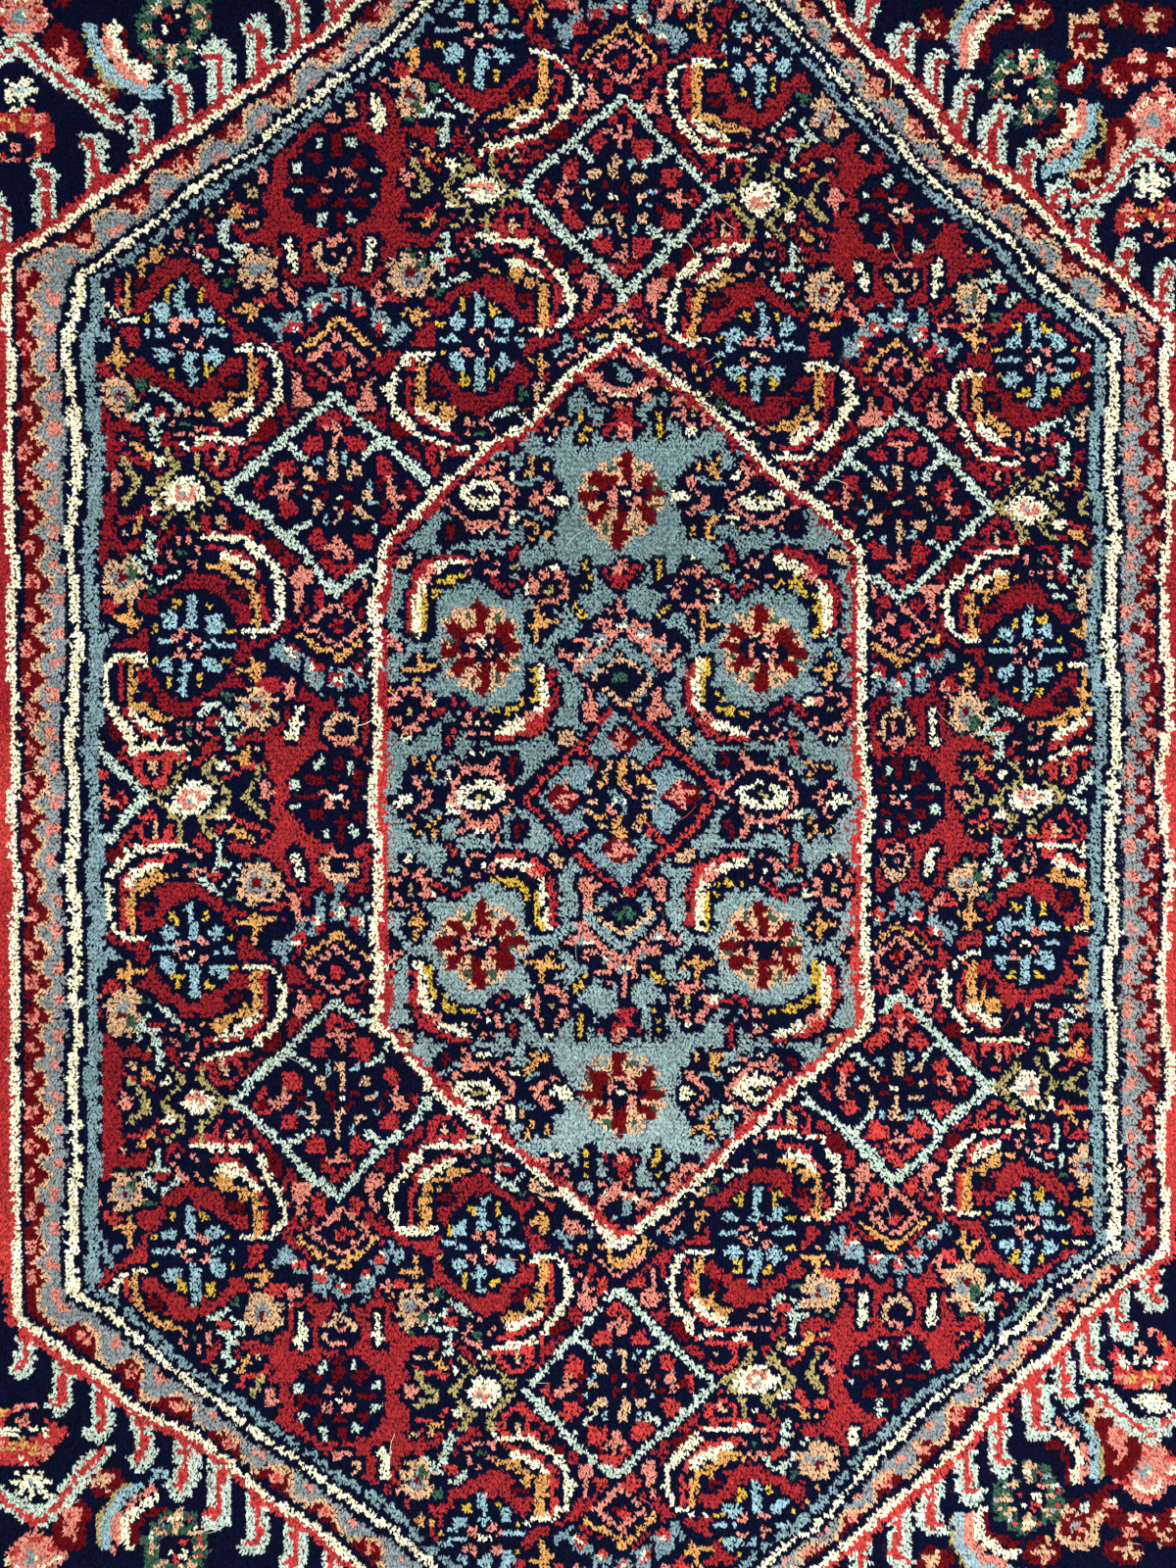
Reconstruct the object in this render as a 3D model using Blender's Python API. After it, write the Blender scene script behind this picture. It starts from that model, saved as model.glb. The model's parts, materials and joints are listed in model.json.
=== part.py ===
"""Flat cut length of a hand-knotted wool pile rug, lying face up.

The rug is one closed solid: a firm cotton foundation with a dense pile on top
of it. It lies flat, its origin is the middle of its underside, +Z is up and +Y
runs along the warps. The pile is a little uneven, its rim leans in where the
yarns have nothing beside them, and the cut edges wander by less than a knot.
"""

import math

import bmesh
import bpy

# Driving dimensions, in metres.
KNOT_PITCH = 0.0025
KNOTS_ACROSS = 246
KNOTS_ALONG = 324
FOUNDATION_THICKNESS = 0.0035
PILE_HEIGHT = 0.0075

# How the cut edges and the pile depart from a plain slab, in metres.
EDGE_WANDER = 0.0010
EDGE_WAVES_ACROSS = 3
EDGE_WAVES_ALONG = 4
PILE_DIP = 0.0006

# The shorn pile's swells: turns in radians for each metre across and along, their
# start in radians, and each swell's share of the dip.
LONG_SWELL_TURNS = (9.0, 7.0)
LONG_SWELL_START = (2.0, -1.0)
LONG_SWELL_SHARE = 0.35
SHORT_SWELL_TURNS = (21.0, -13.0)
SHORT_SWELL_SHARE = 0.15

# Steps of the pile's surface, each about 31 mm long.
STEPS_ACROSS = 20
STEPS_ALONG = 26

# Sections through the edge, from the underside up: height above the floor and
# distance in from the cut edge.
EDGE_SECTIONS = (
    {"height": 0.0, "inset": 0.0006},
    {"height": 0.3 * FOUNDATION_THICKNESS, "inset": 0.0},
    {"height": FOUNDATION_THICKNESS, "inset": 0.0},
    {"height": FOUNDATION_THICKNESS + 0.6 * PILE_HEIGHT, "inset": 0.0004},
    {"height": FOUNDATION_THICKNESS + 0.9 * PILE_HEIGHT, "inset": 0.0014},
)
CROWN_INSET = 0.0035

PILE_COLOUR = (0.36, 0.03, 0.04, 1.0)
PILE_ROUGHNESS = 0.95

HALF_WIDTH = 0.5 * KNOTS_ACROSS * KNOT_PITCH
HALF_LENGTH = 0.5 * KNOTS_ALONG * KNOT_PITCH
THICKNESS = FOUNDATION_THICKNESS + PILE_HEIGHT


def clear_scene():
    """Remove whatever objects the open file holds."""
    for found in list(bpy.data.objects):
        bpy.data.objects.remove(found, do_unlink=True)


def edge_dip(along, waves):
    """How far a cut edge stands in from its straight line, at along in -1..1."""
    return 0.5 * EDGE_WANDER * (1.0 - math.cos(math.pi * waves * (along + 1.0)))


def plan_point(across, along, inset):
    """Place of a point of the rug's plan, given as shares of its half sides."""
    reach_x = HALF_WIDTH - edge_dip(along, EDGE_WAVES_ALONG) - inset
    reach_y = HALF_LENGTH - edge_dip(across, EDGE_WAVES_ACROSS) - inset
    return across * reach_x, along * reach_y


def pile_top(x, y):
    """Height of the pile at a place, where it was shorn a little unevenly."""
    long_swell = (math.cos(LONG_SWELL_TURNS[0] * x + LONG_SWELL_START[0])
                  * math.cos(LONG_SWELL_TURNS[1] * y + LONG_SWELL_START[1]))
    short_swell = math.sin(SHORT_SWELL_TURNS[0] * x + SHORT_SWELL_TURNS[1] * y)
    evenness = 0.5 + LONG_SWELL_SHARE * long_swell + SHORT_SWELL_SHARE * short_swell
    return THICKNESS - PILE_DIP * (1.0 - evenness)


def rim_shares():
    """Shares of the half sides round the rug's outline, anticlockwise."""
    across = [2.0 * step / STEPS_ACROSS - 1.0 for step in range(STEPS_ACROSS + 1)]
    along = [2.0 * step / STEPS_ALONG - 1.0 for step in range(STEPS_ALONG + 1)]
    near = [(share, -1.0) for share in across[:-1]]
    right = [(1.0, share) for share in along[:-1]]
    far = [(share, 1.0) for share in reversed(across[1:])]
    left = [(-1.0, share) for share in reversed(along[1:])]
    return near + right + far + left


def add_ring(shell, section):
    """Add one closed ring of points at an edge section's height and inset."""
    ring = []
    for across, along in rim_shares():
        x, y = plan_point(across, along, section["inset"])
        ring.append(shell.verts.new((x, y, section["height"])))
    return ring


def add_pile_surface(shell):
    """Add the pile's surface and return its outer ring, anticlockwise."""
    rows = []
    for j in range(STEPS_ALONG + 1):
        row = []
        for i in range(STEPS_ACROSS + 1):
            across = 2.0 * i / STEPS_ACROSS - 1.0
            along = 2.0 * j / STEPS_ALONG - 1.0
            x, y = plan_point(across, along, CROWN_INSET)
            row.append(shell.verts.new((x, y, pile_top(x, y))))
        rows.append(row)
    for low, high in zip(rows, rows[1:]):
        for i in range(STEPS_ACROSS):
            shell.faces.new((low[i], low[i + 1], high[i + 1], high[i]))
    near = rows[0][:-1]
    right = [row[-1] for row in rows[:-1]]
    far = rows[-1][:0:-1]
    left = [row[0] for row in reversed(rows[1:])]
    return near + right + far + left


def join_rings(shell, lower, upper):
    """Close the band between two rings, facing away from the rug."""
    for here in range(len(lower)):
        after = (here + 1) % len(lower)
        shell.faces.new((lower[here], lower[after], upper[after], upper[here]))


def wool_material():
    """Matt wool in the ground colour of the field."""
    wool = bpy.data.materials.new("rug")
    wool.use_nodes = True
    shader = wool.node_tree.nodes["Principled BSDF"]
    shader.inputs["Base Color"].default_value = PILE_COLOUR
    shader.inputs["Roughness"].default_value = PILE_ROUGHNESS
    shader.inputs["Metallic"].default_value = 0.0
    return wool


def build_rug():
    """Make the rug's one solid: underside, cut edges, rim and pile surface."""
    shell = bmesh.new()
    rings = [add_ring(shell, section) for section in EDGE_SECTIONS]
    rings.append(add_pile_surface(shell))
    for lower, upper in zip(rings, rings[1:]):
        join_rings(shell, lower, upper)
    shell.faces.new(tuple(reversed(rings[0])))

    mesh = bpy.data.meshes.new("rug")
    shell.to_mesh(mesh)
    shell.free()
    mesh.materials.append(wool_material())
    rug = bpy.data.objects.new("rug", mesh)
    bpy.context.scene.collection.objects.link(rug)
    return rug


clear_scene()
build_rug()
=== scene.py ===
"""A cut length of hand-knotted wool rug with a lattice field and a medallion, lying face up.

The pattern is drawn as a knotter's chart, one square for each knot. Every knot stands as
three cut yarn ends of its dye, and the underside shows the backs of the same knots.
"""

import json
import logging
import math
from dataclasses import dataclass, replace
from enum import Enum
from typing import Sequence

import bpy
import numpy as np
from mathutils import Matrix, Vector

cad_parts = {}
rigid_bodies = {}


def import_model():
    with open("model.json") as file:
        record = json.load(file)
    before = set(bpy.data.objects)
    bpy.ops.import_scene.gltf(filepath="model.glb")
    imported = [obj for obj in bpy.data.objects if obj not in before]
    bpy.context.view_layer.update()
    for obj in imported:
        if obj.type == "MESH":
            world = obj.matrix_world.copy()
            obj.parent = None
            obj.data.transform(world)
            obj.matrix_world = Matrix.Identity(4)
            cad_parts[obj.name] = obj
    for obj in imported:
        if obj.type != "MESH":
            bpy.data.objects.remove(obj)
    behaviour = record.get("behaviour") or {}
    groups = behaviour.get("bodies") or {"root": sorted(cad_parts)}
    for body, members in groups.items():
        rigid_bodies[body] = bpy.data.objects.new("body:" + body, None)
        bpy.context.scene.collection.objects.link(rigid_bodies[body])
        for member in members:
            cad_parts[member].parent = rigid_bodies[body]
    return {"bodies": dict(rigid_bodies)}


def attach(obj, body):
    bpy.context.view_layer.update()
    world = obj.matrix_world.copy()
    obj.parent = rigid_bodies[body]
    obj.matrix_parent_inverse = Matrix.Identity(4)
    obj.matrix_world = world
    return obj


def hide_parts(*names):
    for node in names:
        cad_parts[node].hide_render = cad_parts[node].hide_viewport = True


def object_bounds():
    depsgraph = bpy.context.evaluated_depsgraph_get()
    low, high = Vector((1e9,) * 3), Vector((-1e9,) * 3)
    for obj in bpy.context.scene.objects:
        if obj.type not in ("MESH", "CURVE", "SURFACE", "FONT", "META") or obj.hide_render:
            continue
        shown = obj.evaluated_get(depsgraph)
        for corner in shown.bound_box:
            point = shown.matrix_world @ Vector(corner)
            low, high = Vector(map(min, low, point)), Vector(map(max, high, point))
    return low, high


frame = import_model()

logging.basicConfig(level=logging.INFO, format="%(message)s")
log = logging.getLogger("rug")

CAD_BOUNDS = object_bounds()
RUG_NODE = "rug"
BODY = next(iter(frame["bodies"]))
DYE = "dye"

# The knots, in metres and in numbers.
KNOT_PITCH = 0.0025
KNOTS_ACROSS = 246
KNOTS_ALONG = 324
MIDDLE_COLUMN = 129
MIDDLE_ROW = 161

# How a chart is drawn, in knots: the navy outline round a mark, how far a knot's middle must
# lie within a mark's edge, and how far outside its reach a mark may be moved by the lattice.
CHART_SEED = 11
HALO = 0.92
TRIM = 0.14
WINDOW_SLACK = 9.0
KNOT_JITTER = 0.32
DRIFT = 0.45

# How far a drawn mark slips from its place, in knots, in share of its size and in degrees.
SLIP_SEED = 40
SLIP = 0.26
SIZE_SLIP = 0.07
TURN_SLIP = 6.0
SHARP_POWER = 1.5

Point = tuple[float, float]
Triple = tuple[float, float, float]
Array = np.ndarray
Piece = bpy.types.Object
Material = bpy.types.Material
Socket = bpy.types.NodeSocket


class Yarn(Enum):
    """The dyed wools of the pile, numbered as the chart counts them."""

    MADDER = 0
    TEAL = 1
    NAVY = 2
    SCARLET = 3
    WINE = 4
    SEA = 5
    SKY = 6
    MINT = 7
    CREAM = 8
    PINK = 9
    GOLD = 10
    MUSTARD = 11
    OLIVE = 12
    TAN = 13
    MOSS = 14
    ASH = 15


(MADDER, TEAL, NAVY, SCARLET, WINE, SEA, SKY, MINT,
 CREAM, PINK, GOLD, MUSTARD, OLIVE, TAN, MOSS, ASH) = Yarn
GROUNDS = (MADDER.value, TEAL.value)


def from_segment(start: Point, end: Point, u: Array,
                 v: Array) -> tuple[Array, Array]:
    """Measure places from a straight segment.

    Args:
        start: The segment's first point.
        end: Its last point.
        u: Each place across.
        v: Each place along.

    Returns:
        Each place's distance from the segment, and the share of the segment passed there.
    """
    (x, y), dx, dy = start, end[0] - start[0], end[1] - start[1]
    share = np.clip(((u - x) * dx + (v - y) * dy) / (dx * dx + dy * dy), 0.0, 1.0)
    return np.hypot(u - x - share * dx, v - y - share * dy), share


@dataclass(frozen=True)
class Line:
    """A drawn line of a motif, in knots from the motif's middle."""

    yarn: Yarn
    width: float
    path: tuple[Point, ...]

    def reach(self) -> float:
        """Return how far from the motif's middle the line goes."""
        return max(math.hypot(x, y) for x, y in self.path) + self.width

    def moved(self, x: float, y: float) -> "Line":
        """Return the line moved by x and y knots."""
        return replace(self, path=tuple((px + x, py + y) for px, py in self.path))

    def flipped(self, flip_x: int, flip_y: int) -> "Line":
        """Return the line mirrored by the signs flip_x and flip_y."""
        return replace(self, path=tuple((x * flip_x, y * flip_y) for x, y in self.path))

    def slipped(self, rng: np.random.Generator) -> "Line":
        """Draw the line a little off its place, as each copy on a rug is.

        Args:
            rng: The source of the slips.

        Returns:
            The slipped line.
        """
        slips = rng.normal(0.0, SLIP, (len(self.path), 2)).tolist()
        path = tuple((x + dx, y + dy) for (x, y), (dx, dy) in zip(self.path, slips))
        return Line(self.yarn, self.width * (1.0 + float(rng.normal(0.0, SIZE_SLIP))), path)

    def distance(self, u: Array, v: Array) -> Array:
        """Return how far each place lies outside the line's edge, below 0 inside."""
        runs = [from_segment(*ends, u, v)[0] for ends in zip(self.path, self.path[1:])]
        return np.min(runs, axis=0) - 0.5 * self.width


@dataclass(frozen=True)
class Patch:
    """A filled patch of a motif, in knots: a lozenge at power 1, an oval at 2, else squarish."""

    yarn: Yarn
    middle: Point
    size: Point
    turn: float = 0.0
    power: float = 2.0

    def reach(self) -> float:
        """Return how far from the motif's middle the patch goes."""
        return math.hypot(*self.middle) + 0.75 * max(self.size)

    def moved(self, x: float, y: float) -> "Patch":
        """Return the patch moved by x and y knots."""
        return replace(self, middle=(self.middle[0] + x, self.middle[1] + y))

    def flipped(self, flip_x: int, flip_y: int) -> "Patch":
        """Return the patch mirrored by the signs flip_x and flip_y."""
        middle = (self.middle[0] * flip_x, self.middle[1] * flip_y)
        return replace(self, middle=middle, turn=self.turn * flip_x * flip_y)

    def slipped(self, rng: np.random.Generator) -> "Patch":
        """Draw the patch a little off its place, as each copy on a rug is.

        Args:
            rng: The source of the slips.

        Returns:
            The slipped patch. A sharp one keeps its turn.
        """
        dx, dy, wider, taller, turned = rng.normal(0.0, 1.0, 5).tolist()
        middle = (self.middle[0] + SLIP * dx, self.middle[1] + SLIP * dy)
        size = (self.size[0] * (1.0 + SIZE_SLIP * wider), self.size[1] * (1.0 + SIZE_SLIP * taller))
        turn = self.turn if self.power < SHARP_POWER else self.turn + TURN_SLIP * turned
        return Patch(self.yarn, middle, size, turn, self.power)

    def distance(self, u: Array, v: Array) -> Array:
        """Measure places from the patch's edge.

        Args:
            u: Each place across, from the motif's middle.
            v: Each place along.

        Returns:
            How far each place lies outside the edge, below 0 inside.
        """
        angle = math.radians(self.turn)
        x, y = u - self.middle[0], v - self.middle[1]
        along = np.abs(x * math.cos(angle) + y * math.sin(angle)) / (0.5 * self.size[0])
        aside = np.abs(y * math.cos(angle) - x * math.sin(angle)) / (0.5 * self.size[1])
        radius = (along ** self.power + aside ** self.power) ** (1.0 / self.power) + 1e-9
        return np.hypot(x, y) * (1.0 - 1.0 / radius) + 1e-9 * (radius > 1.0)


Motif = tuple[Line | Patch, ...]


def line(yarn: Yarn, width: float, *path: Point) -> Motif:
    """Return a motif of one line."""
    return (Line(yarn, width, path),)


def lines(yarn: Yarn, *strokes: tuple) -> Motif:
    """Return a motif of lines of one wool, each given by its width and then its points."""
    return tuple(Line(yarn, width, tuple(path)) for width, *path in strokes)


def patch(yarn: Yarn, x: float, y: float, wide: float, tall: float,
          turn: float = 0.0, power: float = 2.0) -> Motif:
    """Return a motif of one patch."""
    return (Patch(yarn, (x, y), (wide, tall), turn, power),)


def patches(yarn: Yarn, *ovals: tuple[float, ...]) -> Motif:
    """Return a motif of ovals of one wool, each given by x, y, width, height and any turn."""
    return tuple(mark for oval in ovals for mark in patch(yarn, *oval))


def flipped_with(motif: Motif, flip_x: int, flip_y: int) -> Motif:
    """Return a motif with its copy mirrored by the signs flip_x and flip_y, mark by mark."""
    return tuple(copy for mark in motif for copy in (mark, mark.flipped(flip_x, flip_y)))


def both_sides(motif: Motif) -> Motif:
    """Return a motif with its left and right mirror image."""
    return flipped_with(motif, -1, 1)


def up_and_down(motif: Motif) -> Motif:
    """Return a motif with its upper and lower mirror image."""
    return flipped_with(motif, 1, -1)


def four_ways(motif: Motif) -> Motif:
    """Return a motif with its three mirror images."""
    return up_and_down(both_sides(motif))


def half_turned(motif: Motif) -> Motif:
    """Return a motif with its copy turned by half a turn."""
    return flipped_with(motif, -1, -1)


def moved(motif: Motif, x: float, y: float) -> Motif:
    """Return a motif moved by x and y knots."""
    return tuple(mark.moved(x, y) for mark in motif)


def round_places(count: int, out_x: float, out_y: float, start: float = 0.5) -> list[Triple]:
    """Space places evenly round an oval.

    Args:
        count: How many places there are.
        out_x: How far out they lie across.
        out_y: How far out they lie along.
        start: Where the first lies, in steps.

    Returns:
        Each place's x and y, and its angle in radians.
    """
    angles = [2.0 * math.pi * (step + start) / count for step in range(count)]
    return [(out_x * math.cos(angle), out_y * math.sin(angle), angle) for angle in angles]


def spots(rim: Yarn, rim_size: Point, middle_size: tuple[float, ...], *places: Point) -> Motif:
    """Draw cream spots on rims of another wool.

    Args:
        rim: The wool of the rims.
        rim_size: A rim's width and height.
        middle_size: A cream middle's width and height, and any turn.
        places: The spots' middles.

    Returns:
        The spots.
    """
    return tuple(mark for place in places
                 for mark in patch(rim, *place, *rim_size) + patch(CREAM, *place, *middle_size))


def scallops(yarn: Yarn, count: int, reach: Point, size: Point) -> Motif:
    """Draw a ring of small ovals.

    Args:
        yarn: Their wool.
        count: How many there are.
        reach: How far out they lie, across and along.
        size: An oval's width and height.

    Returns:
        The ring.
    """
    return patches(yarn, *((x, y, *size) for x, y, _ in round_places(count, *reach)))


def field_lozenge() -> Motif:
    """Draw the field's large lozenge with its four buds and middle flower.

    Returns:
        The motif.
    """
    body = patch(NAVY, 0, 0, 41, 41, power=1)
    ring = four_ways(line(MINT, 1.9, (0, 20), (20.1, 0)))
    hooks = four_ways(line(MINT, 1.5, (10.1, 9.8), (5.4, 6.4)))
    caps = four_ways(
        lines(SCARLET, (1.9, (0, 16.2), (2.5, 14.2)), (1.3, (15.8, 0), (14.6, 2)))
        + patches(SCARLET, (4.2, 9.7, 4.6, 3.8, -25), (9.9, 4.5, 4.2, 4, -50)))
    husks = four_ways(
        patches(WINE, (2.3, 12.6, 1.8, 1.6), (14.2, 0.6, 2, 1.6), (8.2, 1.6, 1.6, 1.8)))
    north = lines(PINK, (1.3, (-2.3, 12.4), (0.3, 11.4), (2.2, 12.7)), (1.6, (0.1, 13.3), (0, 10)))
    east = lines(PINK, (1.6, (9.9, 0.7), (13, -0.6)), (1.5, (11.2, 2.6), (11.4, -1.6)))
    centre = four_ways(
        patch(TAN, 0, 6.9, 2, 1.9) + line(TAN, 1.5, (0, 3.2), (0, 6.6))
        + patches(TAN, (4.4, 3.7, 3.3, 2.4, 35), (5.8, 0.5, 2.2, 1.1))
        + patches(SKY, (2.8, 6.4, 1.5, 2.4), (6.7, 1.9, 1.9, 1.1))
        + patch(WINE, 1.9, 1.6, 2, 1.9, turn=-40))
    return (body + ring + hooks + caps + husks + up_and_down(north) + both_sides(east) + centre
            + patch(CREAM, 0, 0, 2.4, 1.2))


def medallion_lozenge() -> Motif:
    """Draw the medallion's large lozenge with its four lozenge-shaped buds.

    Returns:
        The motif.
    """
    ground = (patch(NAVY, 0, 0, 41, 41, power=1) + patch(SEA, 0, 0, 37, 36.6, power=1)
              + four_ways(line(NAVY, 3.2, (10.4, 9.6), (6.2, 6.8)))
              + patch(NAVY, 0, 0, 15.2, 16.4, power=2.1))
    hooks = four_ways(line(SCARLET, 1.4, (9.9, 9.6), (5.8, 6.6)))
    buds: Motif = ()
    for x, y, wide, tall in ((0.1, 12.3, 7.6, 7), (0, -11.2, 7.6, 6.4),
                             (-11.4, 0.6, 7.8, 6.8), (11.8, 0, 7.6, 6.4)):
        buds += moved(patch(NAVY, 0, 0, wide + 1, tall + 0.8, power=1.1)
                      + patch(WINE, 0, 0, wide, tall, power=1.1) + patch(PINK, 0, 0, 3, 2.6)
                      + lines(PINK, (1.3, (-0.3, 0.32 * tall), (0.2, -0.34 * tall)),
                              (1.2, (-0.26 * wide, -0.4), (0.3 * wide, 0.2))), x, y)
    middle = four_ways(
        line(GOLD, 1.8, (0.1, 3.2), (-0.1, 7.6)) + patch(GOLD, 4.4, 3.5, 3.1, 2.4, turn=-25)
        + patches(TAN, (3.3, 6, 1.8, 2.2), (6.4, 2, 2.2, 0.9), (5.6, 0.4, 1.9, 0.9)))
    heart = (line(SEA, 1.5, (-1.9, 2.5), (-0.8, 0.8), (1.6, -0.8), (1.2, -2.3))
             + lines(PINK, (1.5, (1.5, 2.5), (2.7, 1.1)), (1.5, (-2.2, -0.9), (-0.9, -2.1)))
             + patch(CREAM, 0.2, 0.1, 2.6, 1.1))
    ring = four_ways(line(SCARLET, 1.4, (0, 20), (20.1, 0)))
    return ground + hooks + buds + middle + heart + ring


def around_lozenge(oval: Yarn, flank: Yarn, sliver: Yarn) -> Motif:
    """Draw the drops, ovals and slivers that stand round the large lozenge.

    Args:
        oval: The wool of the ovals over and under it.
        flank: The wool of the patches along its sides.
        sliver: The wool of the slivers left and right of it.

    Returns:
        The motif.
    """
    drops = (patch(PINK, 6.8, 17.8, 4.4, 3.8, turn=-10)
             + lines(PINK, (1.9, (6.9, 19), (6.8, 21.2)), (1.2, (6.9, 21.2), (7.3, 23.4))))
    return four_ways(drops + patch(oval, 3.3, 21.2, 3, 4)
                     + patch(flank, 13.1, 12, 4.6, 3.4, turn=-35) + patch(sliver, 21.8, 6.6, 1.6, 3.5))


def sliver_eyes(ring: Motif) -> Motif:
    """Return the navy ovals behind the slivers beside the large lozenge, each over its ring."""
    return four_ways(ring + patch(NAVY, 21.8, 6.6, 4.6, 5.8))


def field_flower() -> Motif:
    """Draw the round flower of the field that stands between two lozenges.

    Returns:
        The motif.
    """
    disc = patch(NAVY, 0, 0, 18.6, 17.6, power=2.3)
    petals = four_ways(
        patches(WINE, (0, 7.3, 1.9, 3.2), (0, 4.6, 2.4, 2.2), (4.6, 3.8, 3.4, 2.6, 15))
        + line(WINE, 1.2, (3.8, 0), (7.4, 0.1))
        + patches(MINT, (3, 6.8, 1.8, 3.1), (7.8, 2.3, 2, 1.9))
        + patch(PINK, 1.9, 1.6, 2.8, 1.7, turn=-38))
    return disc + petals + patch(CREAM, 0, 0, 2.6, 1.1)


def rosette_flower() -> Motif:
    """Draw the medallion's round flower on its scalloped tan ring.

    Returns:
        The motif.
    """
    ground = scallops(TAN, 16, (7.6, 7.7), (2.5, 2.4)) + patch(TAN, 0, 0, 15.4, 15.6)
    dots = four_ways(patches(MOSS, (2.9, 5.9, 1.7, 1.9), (6.6, 1.9, 1.8, 1.3)))
    petals = four_ways(
        line(WINE, 2.4, (0.1, 2.8), (0.1, 8)) + patch(WINE, 0.1, 7, 3.1, 2.1)
        + lines(WINE, (3, (3.6, 2.6), (5.5, 3.7)), (2.2, (4.4, 0.1), (7.8, 0.1))))
    core = patches(NAVY, (0, 0, 8.6, 5), (0, 0, 4.8, 6))
    cross = four_ways(patch(PINK, 2.2, 1.4, 2.5, 1.9, turn=-35)) + patch(PINK, 0, 2.4, 1.6, 1.5)
    return ground + dots + petals + core + cross + patch(CREAM, 0, 0, 2.6, 1.6)


def field_posy() -> Motif:
    """Draw the field's posies over and under a round flower, with their pale bars.

    Returns:
        The motif.
    """
    cup = line(TAN, 1.5, (-2.9, 12.9), (-2.6, 15.2), (-0.9, 16.8), (0.9, 16.8), (2.6, 15.2),
               (2.9, 12.9))
    stem = line(SEA, 1.4, (-0.2, 18.6), (-0.2, 22.6))
    bars = lines(CREAM, (1.5, (7.4, 17.4), (7.7, 14.6)), (2.1, (7.7, 14.4), (8.2, 11.6)))
    return (up_and_down(patch(NAVY, 0, 14, 8, 8.6) + cup
                        + patches(PINK, (0, 11.8, 4.2, 2.1), (0.3, 14, 1.3, 1.2)) + stem)
            + four_ways(line(NAVY, 3.6, (7.4, 17.4), (8.2, 11.4)) + bars))


def medallion_posy() -> Motif:
    """Draw the medallion's posies over and under a round flower, with their mustard bars.

    Returns:
        The motif.
    """
    posy = (patch(NAVY, 0, 14.9, 8.4, 6.6) + patch(SCARLET, 0.2, 16.6, 3.6, 2.8)
            + line(SCARLET, 1.3, (-3.6, 13.4), (-1.6, 14.8), (1.6, 14.8), (3.6, 13.4))
            + patch(PINK, 0.1, 13.1, 3.4, 2.9))
    sheath = line(NAVY, 3.8, (7.6, 16.9), (7.6, 12.6))
    bars = patches(MUSTARD, (7.6, 16.9, 1.5, 1.7), (7.5, 14.9, 1.4, 1.8), (7.7, 12.6, 1.5, 2))
    commas = line(MUSTARD, 1.4, (9.8, 21.9), (7.6, 24.3))
    return up_and_down(posy) + four_ways(sheath + bars + commas)


def blossoms(lobe: Yarn, x: float, y: float, middle: Motif) -> Motif:
    """Draw the lobed blossoms at the four corners of a round flower.

    Args:
        lobe: The wool of their lobes.
        x: A blossom's place across.
        y: A blossom's place along.
        middle: What is drawn within the lobes.

    Returns:
        The four blossoms.
    """
    ring = scallops(lobe, 8, (3.2, 3.7), (2.5, 2.3))
    return four_ways(moved(patch(NAVY, 0, 0, 9.8, 10.4) + ring + middle, x, y))


def field_blossoms() -> Motif:
    """Draw the field's tan blossoms.

    Returns:
        The motif.
    """
    return blossoms(TAN, 15.2, 17.9, (
        patch(TAN, 0, 0, 6.2, 6.8) + patch(ASH, 0, 0, 3.5, 3.9) + patch(WINE, 0, 0, 1.9, 2.2)
        + patches(MOSS, (5, 2.4, 2.3, 2.2), (-0.6, -4.8, 1.6, 1.1))
        + line(PINK, 1.6, (-5.6, 4.4), (-6.9, 7))))


def medallion_blossoms() -> Motif:
    """Draw the medallion's pink blossoms.

    Returns:
        The motif.
    """
    return blossoms(PINK, 14.4, 18.2, (
        patch(NAVY, 0, 0, 4.2, 4.8) + patch(OLIVE, 0, 0, 1.4, 3.1)
        + patches(CREAM, (4.9, 1.5, 1.8, 2.7), (-0.5, -5.5, 2.6, 1.3))))


def star(x: float, y: float) -> Motif:
    """Draw a small four-pointed gold star.

    Args:
        x: Its place across.
        y: Its place along.

    Returns:
        The star.
    """
    beams = lines(GOLD, (1.3, (-2.4, 0.2), (2.4, -0.1)), (1.3, (0.2, 2.7), (0.1, -2.8)))
    return moved(patch(NAVY, 0, 0, 7.2, 7.6, power=1.5) + beams + patch(GOLD, 0, -0.3, 2.8, 2.4), x, y)


def dotted_bud(y: float, middle: Yarn) -> Motif:
    """Draw the dotted pink bud at the tip of a curled leaf.

    Args:
        y: The bud's place along.
        middle: The wool of its middle.

    Returns:
        The bud.
    """
    bud = patch(NAVY, -0.5, y, 8, 7.4)
    for dot_x, dot_y, angle in round_places(7, 2.7, 2.3, start=0.3):
        bud += patch(PINK, dot_x - 0.6, dot_y + y, 1.9, 1.4, turn=math.degrees(angle) + 60.0)
    return bud + patch(middle, -0.6, y, 1.7, 1.4)


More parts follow.
